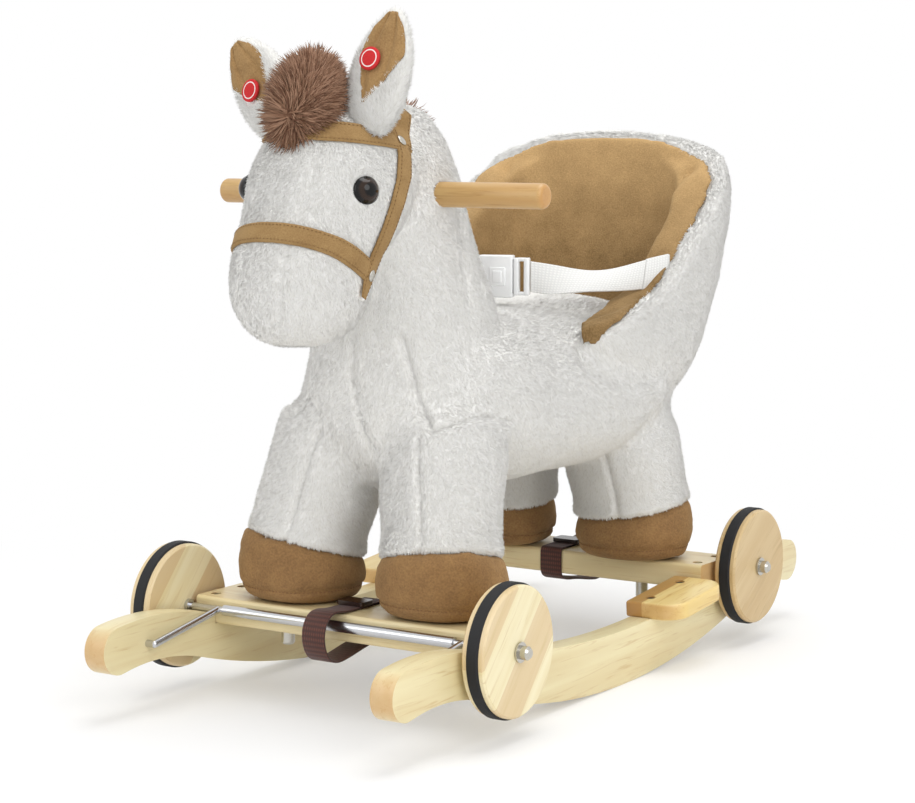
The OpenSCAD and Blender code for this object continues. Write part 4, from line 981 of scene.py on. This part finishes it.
lining = piece("seat_lining_suede", *joined(shells), suede_seat)
voxelled(lining, 2.8, 2)
# it reaches up onto the rim of the back
co = points(lining)
up = np.clip((co[:, 2] / MM - 396) / 50, 0, 1) ** 1.5 * np.clip(1 - (co[:, 0] / MM / 96) ** 2, 0, 1)
place(lining, co + up[:, None] * np.array([0, 2.8, 7.5]) * MM)
# the wing folds forward from the back along a slanting line; beside that fold its padding stands up and wrinkles
WING_FOLD = np.array([(70, 206, 338), (76, 207, 360), (84, 206, 385), (92, 204, 410), (99, 206, 432)])
WRINKLES = ((((98, 190, 425), (104, 160, 405), (107, 140, 388)), 4, 1.3), (((92, 202, 418), (100, 178, 400)), 3.5, 1.2),
    (((80, 205, 408), (86, 195, 392)), 3.5, 1.0))
for side, _ in SIDES:
    co = points(lining)
    d = to_line(co, mirrored(WING_FOLD, side))
    across = side * co[:, 0] / MM - np.interp(co[:, 2] / MM, WING_FOLD[:, 2], WING_FOLD[:, 0])
    ahead = np.clip(across / 6, 0, 1) * (normals(lining)[:, 1] < 0.3)
    swell(lining, 4.0 * ahead * (1 - np.exp(-(d / 9) ** 2)) * np.exp(-(d / 55) ** 2) - 3.0 * np.exp(-(d / 4.4) ** 2))
    for path, wide, deep in WRINKLES:
        creased(lining, mirrored(path, side), wide, deep)
co = points(lining)
swell(lining, rough(co, 38, 5) * 0.9 + rough(co, 14, 6) * 0.3)
give(lining, "frame", ["seat_lining"])


# ---------------------------------------------------------------- ears

# share of the length, half width and half depth
EAR = np.array([[-0.16, 0.40, 0.55], [0, 0.76, 0.9], [0.12, 0.93, 1], [0.35, 1, 1], [0.6, 0.93, 0.95],
    [0.82, 0.63, 0.75], [0.94, 0.36, 0.55], [1, 0.12, 0.3]])
EAR_LONG, EAR_WIDE, EAR_DEEP = 88, 25, 10
EAR_TURN = {1: 5, -1: 42}
BUTTONS = {1: (-0.30, 0.52), -1: (-0.12, 0.38)}
# suede front, up the ear's length: how far it reaches towards the inner and the outer rim
LEAF = np.array([[0.14, -0.38, -0.26], [0.34, -0.58, 0.34], [0.59, -0.83, 0.90], [0.72, -0.92, 0.94],
    [0.85, -0.86, 0.92], [0.965, -0.6, 0.66]])
PATCH_R = 9.2
PATCH = (1.0, 9.0), (-0.4, PATCH_R), (-0.9, 9.0), (-1.25, 8.2), (-1.5, 6.0), (-1.6, 3.0), (-1.62, 0.4)


def ear_place(side, p):
    """A point of the ear's own frame, length along Z and front towards -Y, brought to the head."""
    p = np.asarray(p, float)
    b, s = math.radians(-15), math.radians(side * EAR_TURN[side])
    y, z = p[..., 1] * math.cos(b) - p[..., 2] * math.sin(b), p[..., 1] * math.sin(b) + p[..., 2] * math.cos(b)
    x, z = p[..., 0] * math.cos(s) + z * math.sin(s), -p[..., 0] * math.sin(s) + z * math.cos(s)
    return np.stack([x + side * 45, y - 218, z + 468], -1)


def ear_half(z):
    """Half width and half depth of the ear at a height."""
    return [size * np.interp(z / EAR_LONG, EAR[:, 0], EAR[:, i]) for i, size in ((1, EAR_WIDE), (2, EAR_DEEP))]


def cup(x, z):
    """How far the front of the ear is pressed in."""
    a, _ = ear_half(z)
    deep = np.interp(z, [0, 14, 50, 80, 88], [0, 1.6, 2.2, 1.0, 0])
    return np.clip(1 - (x / np.maximum(a * 0.86, 1)) ** 2, 0, 1) * deep


def ear_cover(side):
    """Rings of the plush ear: cupped in front, with its inner rim rolled over."""
    rings = []
    for z in np.linspace(-10, 87, 34):
        a, b = ear_half(z)
        ring = oval((0, 0, z), a - 1.5, b - 1.5, power=2.2, n=40)
        front = ring[:, 1] < 0
        ring[front, 1] += cup(ring[front, 0], z)
        inner = np.clip(-side * ring[:, 0] / a - 0.45, 0, 1) * np.interp(z, [0, 20, 60, 84], [1.0, 1.0, 0.5, 0])
        ring[:, 0] -= side * 9 * inner
        ring[front, 1] -= 3 * inner[front]
        rings.append(ear_place(side, ring))
    return rings


def ear_front(side, bx, bz, nu=29, nv=48):
    """Points and faces of the suede front: a pointed leaf with three folds, sewn into the cupped front."""
    grid = []
    for v in LEAF[0, 0] + (LEAF[-1, 0] - LEAF[0, 0]) * np.arange(nv) / (nv - 1):
        z = EAR_LONG * v
        a, b = ear_half(z)
        inner, outer = (np.interp(v, LEAF[:, 0], LEAF[:, k]) for k in (1, 2))
        for i in range(nu):
            u = inner * (1 - i / (nu - 1)) + outer * i / (nu - 1)
            x = side * u * (a - 1)
            y = -(b - 1.5) * max(0.0, 1 - abs(x / a) ** 2.2) ** (1 / 2.2) + cup(x, z) - 1.2
            y += 1.5 * math.exp(-((u + 0.42 - 0.06 * math.sin(z * 0.1)) / 0.11) ** 2) \
                + 1.1 * math.exp(-((u - 0.30 - 0.5 * (v - 0.5)) / 0.08) ** 2) \
                - 1.0 * math.exp(-((u - 0.52 - 0.4 * (v - 0.5)) / 0.12) ** 2)
            y += 0.6 * noise.noise(Vector((x / 9, z / 9, side * 3.0)))
            # hollow that leaves the button room to be pressed in
            near = np.clip((13 - math.hypot(x - bx, z - bz)) / 3, 0, 1)
            grid.append((x, y + near * max(0.0, -6.9 - y), z))
    return ear_place(side, grid), [(j * nu + i, j * nu + i + 1, (j + 1) * nu + i + 1, (j + 1) * nu + i)
        for j in range(nv - 1) for i in range(nu - 1)]


for side, word in SIDES:
    bx, bz = BUTTONS[side][0] * EAR_WIDE, BUTTONS[side][1] * EAR_LONG
    ear = piece(word + "_ear_plush", *loft(ear_cover(side)), ground)
    voxelled(ear, 2.6, 2)
    give(ear, "frame", [word + "_ear"])
    front = piece(word + "_ear_suede", *ear_front(side, bx, bz), suede)
    wall = front.modifiers.new("cloth", "SOLIDIFY")
    wall.thickness, wall.offset = 1.4 * MM, 0
    settle(front)
    outward(front)
    give(front, "frame", ["ear_linings"] if side > 0 else [])
    # round patch over the press button
    rings = [ear_place(side, ring) for ring in turned((bx, -10.2, bz), (0, 1, 0), PATCH, 44)]
    patch = piece(word + "_ear_patch", *loft(rings), felt)
    patch.data.attributes.new("ring", "FLOAT", "POINT").data.foreach_set("value",
        np.repeat([r / PATCH_R for _, r in PATCH], 44))
    faced_out(patch)
    give(patch, "ear_button_" + word, [word + "_ear_button"])
    # longer pile on the back and the rim of the ear
    co = points(ear) / MM
    n = normals(ear)
    axis = ear_place(side, (0, 0, 80)) - ear_place(side, (0, 0, 0))
    axis /= np.linalg.norm(axis)
    leaf_tree = tree_of(front)
    cover = np.array([0.0 if leaf_tree.ray_cast(Vector(p - 1.5 * q) * MM, Vector(q), 0.008)[0] is not None else 1.0
        for p, q in zip(co, n)])
    cover *= np.linalg.norm(co - ear_place(side, (bx, -9, bz)), axis=1) > 14
    furred(word + "_ear_pile", ear, polygons(ear), np.broadcast_to(axis, n.shape), cover, 1.6, 4.8,
        0.7, 0.5, 0.35, 7, 3, WHITES, pile_blade)


# ---------------------------------------------------------------- forelock, mane and tail

# shares of the height and reach, half width and half depth
TUFT = [[0, 0, 0.20, 0.20], [0.08, 0.08, 0.58, 0.58], [0.28, 0.28, 0.92, 0.92], [0.52, 0.52, 1, 1],
    [0.76, 0.76, 0.86, 0.86], [0.93, 0.93, 0.50, 0.50], [1, 1, 0.18, 0.18]]
MANE = [[0, 0, 0.35, 0.35], [0.08, 0.05, 0.7, 0.6], [0.30, 0.28, 0.85, 0.7], [0.55, 0.55, 1, 0.8],
    [0.78, 0.78, 1.05, 1], [0.93, 0.96, 0.8, 0.8], [1, 1.02, 0.4, 0.4]]
TAIL = [[0, 1, 0.25, 0.3], [0.08, 1, 0.7, 0.7], [0.35, 0.9, 1, 1], [0.65, 0.55, 0.9, 0.9], [0.9, 0.12, 0.6, 0.7],
    [1, 0, 0.4, 0.5]]


def tuft(name, form, flow, length, width, density, lean, scatter, seed):
    """A tuft of long fur: a dark core, and locks that stand away from it along a flow."""
    core = piece(name + "_core", *loft(stacked(*form, power=2.2, n=28)), BROWNS[2])
    voxelled(core, 4.0, 2)
    give(core, "frame", [name])
    co = points(core) / MM
    furred(name + "_locks", core, polygons(core), flow(co), np.ones(len(co)), density, length, width, lean,
        scatter, 9, seed, BROWNS, fur_lock, soft=0.28)


tuft("forelock", (TUFT, (-4, -248, 455), (54, 20), (16, 18)), lambda co: unit(co - np.array([-4.0, -263, 473])),
    19, 1.25, 1.75, 1.3, 0.62, 2)
tuft("mane", (MANE, (0, -46, 336), (142, -66), (12, 14)), lambda co: np.broadcast_to([0, 0.5, -0.6], co.shape), 15, 1.6,
    0.45, 1.0, 0.5, 5)
tuft("tail", (TAIL, (0, 238, 190), (112, 12), (15, 13)), lambda co: np.broadcast_to([0, 0.2, -1.5], co.shape), 28, 2.4,
    0.4, 0.9, 0.35, 8)


# ---------------------------------------------------------------- plush pile

# beside the lining the plush comes up to it, and its pile leans over the lining's edge
lining_tree = tree_of(lining)
co = points(skin)
n = normals(skin)
border, raised, bare = {}, np.zeros(len(co)), np.zeros(len(co), bool)
for i in np.flatnonzero((co[:, 1] > -0.06) & (co[:, 2] > 0.27)):
    p = Vector(co[i])
    spot, _, _, far = lining_tree.find_nearest(p, 0.014)
    if spot is None:
        continue
    bare[i] = lining_tree.ray_cast(p - Vector(n[i]) * 0.001, Vector(n[i]), 0.016)[0] is not None
    if not bare[i]:
        raised[i] = 2.0 * min(1.0, max(0.0, (13 - far / MM) / 8))
        border[i] = (np.array(spot - p) / max(far, 1e-6), max(0.0, 1 - far / (8 * MM)))
swell(skin, raised)
co = points(skin) / MM
n = normals(skin)

# no pile under the lining, the straps and the eyes or below the hem, and less of it in the seams
cover = np.where(bare, 0.0, 1.0)
for ends, width in (BROW, CHEEK, CROWN, NOSE):
    p, way, length = strap_way(ends)
    along = (co[:, 1:] - p) @ way
    beside = np.abs((co[:, 1:] - p) @ np.array([-way[1], way[0]]))
    cover[(beside < width / 2 - 0.5) & (along > -2) & (along < length + 2) & (co[:, 2] > 318)] = 0
cover *= 1 - 0.65 * thin
for spot in eye_spots:
    cover[np.linalg.norm(co - spot, axis=1) < 11.5] = 0
cover[co[:, 2] < hem(co) - 1] = 0

# it lies downwards, on the head straight down, elsewhere also backwards
flow = np.stack([co[:, 0] * 0.004, np.where(co[:, 1] < -190, -0.25, 0.35), np.full(len(co), -1.0)], 1)
on_head = (co[:, 1] < -190) & (co[:, 2] > 300)
flow[on_head] = np.stack([co[on_head, 0] * 0.006, np.full(on_head.sum(), 0.1), np.full(on_head.sum(), -1.0)], 1)
for i, (way, share) in border.items():
    flow[i] += 0.9 * share * way
lay = unit(flow - n * np.sum(flow * n, 1)[:, None])

# the dense pile evens out the small lumps of the ground
ends = np.array([e.vertices[:] for e in skin.data.edges])
even = n.copy()
for _ in range(2):
    total = even.copy()
    np.add.at(total, ends[:, 0], even[ends[:, 1]])
    np.add.at(total, ends[:, 1], even[ends[:, 0]])
    even = total / np.linalg.norm(total, axis=1)[:, None]

# one piece of pile for each part of the cover
polys = polygons(skin)
x, y, z = np.array([co[list(f)].mean(0) for f in polys]).T
high, low, left = z > 300, z < 190, x > 0
waist = ~high & ~low
REGIONS = (("head", high & (y < -185)), ("neck", high & (y >= -185) & (y < -20)),
    ("front_left_leg", low & (y < 0) & left), ("front_right_leg", low & (y < 0) & ~left),
    ("rear_left_leg", low & (y >= 0) & left), ("rear_right_leg", low & (y >= 0) & ~left),
    ("shoulders", waist & (y < -40)), ("left_flank", waist & (y >= -40) & left),
    ("right_flank", waist & (y >= -40) & ~left), ("seat_left", high & (y >= -20) & left),
    ("seat_right", high & (y >= -20) & ~left))
for k, (word, within) in enumerate(REGIONS):
    furred("pile_" + word, skin, [polys[i] for i in np.flatnonzero(within)], lay, cover, 0.85, 3.3,
        0.95, 0.9, 0.33, 3.2, 31 + k, WHITES, pile_blade, up=even, soft=0.32)
give(skin, "frame", ["body", "neck", "head", "front_left_leg", "front_right_leg", "rear_left_leg",
    "rear_right_leg", "seat_back"])
for helper in (pile_blade, fur_lock):
    bpy.data.objects.remove(helper)


# ---------------------------------------------------------------- straps, belt and buckle

# across a tape: share of its half width, and of its thickness
TAPE_SECTION = [(-1, -0.3), (-0.93, -0.5), (0, -0.5), (0.93, -0.5), (1, -0.3), (1, 0.3), (0.93, 0.5), (0, 0.5),
    (-0.93, 0.5), (-1, 0.3)]
# loop round the crossbar and the sleeve, slack below, its free end lapped under the slider: y and z of its corners
STRAP_LOOP = ((150, 79.7), (196, 79.7), (207, 82), (219, 81), (227, 72), (228, 59), (222, 46), (210, 41), (195, 42.6),
    (168, 48), (148, 50), (139.2, 55), (138.8, 66), (138.8, 76), (140, 79.4), (144, 79.8), (166, 80.0))
BELT_Z, BELT_Y = 337, 5


def band(name, path, across, width, thick, material):
    """Woven tape along a path of points in millimetres; across gives its width's direction at each point."""
    way = np.gradient(path, axis=0)
    out = unit(np.cross(unit(way), across))
    rings = np.stack([path + across * f * width / 2 + out * h * thick for f, h in TAPE_SECTION], 1)
    ob = piece(name, *loft(rings), material)
    run, m = run_of(path) * MM, len(TAPE_SECTION)
    flat = [(run[v // m], TAPE_SECTION[v % m][0] * width / 2 * MM) for p in ob.data.polygons for v in p.vertices]
    ob.data.uv_layers.new(name="run").data.foreach_set("uv", np.array(flat, np.float32).ravel())
    return faced_out(ob)


def smooth_path(corners, n):
    """Even points along a rounded line through some corners."""
    p = np.asarray(corners, float)
    for _ in range(4):
        cut = np.stack([0.75 * p[:-1] + 0.25 * p[1:], 0.25 * p[:-1] + 0.75 * p[1:]], 1).reshape(-1, 3)
        p = np.concatenate([p[:1], cut, p[-1:]])
    return even_steps(p, n)


for d, word in ((-1, "front"), (1, "rear")):
    path = smooth_path([(-7, d * y, z) for y, z in STRAP_LOOP], 170)
    strap_piece = band(word + "_strap_webbing", path, np.broadcast_to([1.0, 0, 0], path.shape), 22, 1.7, brown_web)
    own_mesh(strap_piece)
    give(strap_piece, "frame", [word + "_strap"])

for (side, word), x0, x1 in zip(SIDES, (42.4, 0.5), (121, 120)):
    xs = np.linspace(x0, x1, 90)
    q = (xs - x0) / (x1 - x0)
    wave = np.sin(q * math.pi)
    path = np.stack([side * xs, BELT_Y + 0.00797 * xs * xs - 2.0 * wave, BELT_Z - 5.0 * wave + 3.5 * q ** 3], 1)
    lean = 0.85 * np.maximum(wave, 0) ** 1.5
    across = np.stack([np.zeros_like(xs), np.sin(lean), np.cos(lean)], 1)
    belt = band(word + "_belt_webbing", path, across, 26, 1.7, white_web)
    # its end is folded over and sewn to the wing
    end = slice(76, 90)
    fold = band(word + "_belt_fold", path[end] + np.array([0, -2.0, 0]), across[end], 27, 1.9, white_web)
    give(fold, "frame")
    if side > 0:
        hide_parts("belt_left")
        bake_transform(belt)
    else:
        give(belt, "frame", ["belt_right"])


def block(lo, hi, r):
    """A box with rounded edges, in millimetres."""
    work = bmesh.new()
    bmesh.ops.create_cube(work, size=1)
    for v in work.verts:
        v.co = Vector([(lo[i] + hi[i]) / 2 + v.co[i] * (hi[i] - lo[i]) for i in range(3)])
    bmesh.ops.bevel(work, geom=work.edges, offset=r, segments=3, profile=0.5, affect="EDGES")
    work.verts.index_update()
    out = np.array([v.co for v in work.verts]), [tuple(v.index for v in f.verts) for f in work.faces]
    work.free()
    return out


def at_buckle(verts, faces):
    """A part of the buckle, brought from its own frame to the belt."""
    t = math.radians(18.513)
    v = verts + np.array([30, 0, 0])
    return np.stack([v[:, 0] * math.cos(t) - v[:, 1] * math.sin(t),
        v[:, 0] * math.sin(t) + v[:, 1] * math.cos(t) + BELT_Y, v[:, 2] + BELT_Z], 1), faces


# socket: two shells round a flat mouth, a raised press window, a bar for the belt
SOCKET = (((-30, -6, -18), (0, -3.0, 18), 1.4), ((-30, 3.0, -18), (0, 6, 18), 1.4),
    ((-30, -5, -18), (0, 5, -13.5), 1.4), ((-30, -5, 13.5), (0, 5, 18), 1.4), ((-30, -5, -17), (-23, 5, 17), 1.4),
    ((-20, -7.2, -8), (-6, -5, 8), 1.0), ((-17, -8.0, -5), (-9, -6.5, 5), 0.7))
# tongue: a flat plug in the socket, a shoulder, and a ladder for the belt's free end
PLUG = (((-19.6, -2, -12), (1, 2, 12), 0.9), ((0.5, -4.5, -16), (5, 4.5, 16), 1.3),
    ((9.5, -4.5, -16), (14, 4.5, 16), 1.3), ((0.8, -4, -16), (13.8, 4, -13), 1.0), ((0.8, -4, 13), (13.8, 4, 16), 1.0))
for name, blocks, body, node in (("buckle_socket_shell", SOCKET, "frame", "buckle_socket"),
        ("buckle_tongue_plug", PLUG, "buckle_plug", "buckle_tongue")):
    shell = piece(name, *joined([at_buckle(*block(*b)) for b in blocks]), buckle_plastic)
    give(outward(shell), body, [node])


# ---------------------------------------------------------------- woodwork and metal

def eased(name, node, wide, wanted, material):
    """A copy of a wooden board with its outer edges rounded over."""
    ob = copied(name, node, material)
    with reworked(ob) as work:
        bmesh.ops.dissolve_limit(work, angle_limit=math.radians(0.4), verts=work.verts, edges=work.edges)
        edges = [e for e in work.edges if len(e.link_faces) == 2 and e.calc_face_angle(0) > 0.6 and wanted(e)]
        bmesh.ops.bevel(work, geom=edges, offset=wide * MM, segments=3, profile=0.5, affect="EDGES", clamp_overlap=True)
    smoothed(ob)
    ob.data.set_sharp_from_angle(angle=math.radians(28))
    return give(ob, "frame", [node])


def rocker_edge(e):
    """Edges of a rocker's two faces, apart from the holes for the carriages and the seats of the crossbars."""
    for v in e.verts:
        x, y, z = abs(v.co.x) / MM, v.co.y / MM, v.co.z / MM
        if min(abs(x - 126), abs(x - 146)) > 0.05 or math.hypot(abs(y) - 288, z - 56) < 4:
            return False
        if abs(abs(y) - 171) < 31.4 and z > 56.3:
            return False
    return True


def foot_edge(e):
    """Edges of a footrest away from its rocker."""
    return all(abs(abs(v.co.x) / MM - 136) > 6 for v in e.verts)


for _, word in SIDES:
    eased(word + "_rocker_board", "rocker_" + word, 2.2, rocker_edge, rocker_wood)
    eased(word + "_footrest_board", "footrest_" + word, 2.2, foot_edge, foot_wood)

CAD_FINISHES = ((("front_crossbar", "rear_crossbar", "leg_posts", "seat_board", "neck_board", "back_panel"), bar_wood),
    (("handle_bar",), handle_wood), (("front_left_wheel", "front_right_wheel"), wheel_wood),
    (("rear_left_wheel", "rear_right_wheel"), tan_wheel_wood),
    (("front_left_tyre", "front_right_tyre", "rear_left_tyre", "rear_right_tyre"), rubber),
    (("wood_screws",), screw_steel), (("strap_sliders", "ear_sound_pucks"), slider_plastic),
    (("front_axle_caps", "rear_axle_caps", "leg_cap_nuts"), cap_steel),
    (("leg_bolts", "front_axle", "front_sleeve", "front_cranks", "rear_axle", "rear_sleeve", "rear_cranks"), steel))
for names, mat in CAD_FINISHES:
    for name in names:
        nodes[name].data.materials.clear()
        nodes[name].data.materials.append(mat)


# ---------------------------------------------------------------- studio

def seen_rays(tree):
    """One on rays from the camera, also by way of metal and clear plastic."""
    rays = add(tree, "ShaderNodeLightPath", out=None).outputs
    seen = add(tree, "ShaderNodeMath", {0: rays["Is Camera Ray"], 1: rays["Is Glossy Ray"]}, operation="MAXIMUM")
    return add(tree, "ShaderNodeMath", {0: seen, 1: rays["Is Transmission Ray"]}, operation="MAXIMUM")


# white floor that keeps the shadow near the toy and fades into the backdrop
floor_mat, tree, shader = finish("studio_floor")
feed(tree, shader, {"Base Color": "#F6F6F6", "Roughness": 0.9})
far = add(tree, "ShaderNodeVectorMath", {0: add(tree, "ShaderNodeTexCoord", out="Object")}, "Value", operation="LENGTH")
far = add(tree, "ShaderNodeMapRange", {"Value": far, "From Min": 0.32, "From Max": 0.78, "To Min": 0.3},
    interpolation_type="SMOOTHSTEP")
far = add(tree, "ShaderNodeMath", {0: far, 1: seen_rays(tree)}, operation="MULTIPLY")
glow = add(tree, "ShaderNodeEmission", {"Color": (1, 1, 1, 1), "Strength": 1.0})
both = add(tree, "ShaderNodeMixShader", {0: far, 1: shader.outputs[0], 2: glow})
feed(tree, tree.nodes["Material Output"], {"Surface": both})
HALF, DROP = 9000, -0.2
floor = piece("floor", [(-HALF, -HALF, DROP), (HALF, -HALF, DROP), (HALF, HALF, DROP), (-HALF, HALF, DROP)],
    [(0, 1, 2, 3)], floor_mat)

world = bpy.data.worlds.new("studio")
scene.world = world
world.use_nodes = True
tree = world.node_tree
power = add(tree, "ShaderNodeMapRange", {"Value": seen_rays(tree), "To Min": 0.65, "To Max": 1.0})
feed(tree, tree.nodes["Background"], {"Strength": power, "Color": (1, 1, 1, 1)})


def lamp(name, spot, aim, size, watts):
    """A round area lamp, aimed at a point."""
    light = bpy.data.lights.new(name, "AREA")
    light.shape, light.size, light.energy = "DISK", size, watts
    ob = linked(name, light)
    ob.location = spot
    ob.rotation_euler = (Vector(aim) - Vector(spot)).to_track_quat("-Z", "Y").to_euler()


lamp("key", (2.7, -1.5, 1.9), (0, 0, 0.25), 2.4, 37)
lamp("fill", (-1.2, -2.4, 1.3), (0, 0, 0.25), 1.8, 13)
lamp("top", (0.2, 0.2, 2.6), (0, 0, 0.2), 2.0, 31)

camera = linked("camera", bpy.data.cameras.new("camera"))
camera.location = (1.07728, -1.68975, 0.4652)
turn, drop = math.radians(32.98), math.radians(6.72)
look = Vector((-math.sin(turn) * math.cos(drop), math.cos(turn) * math.cos(drop), -math.sin(drop)))
camera.rotation_euler = look.to_track_quat("-Z", "Y").to_euler()
camera.data.sensor_fit = "HORIZONTAL"
camera.data.sensor_width = 36
camera.data.lens = 92.36
scene.camera = camera
scene.view_settings.view_transform = "Standard"
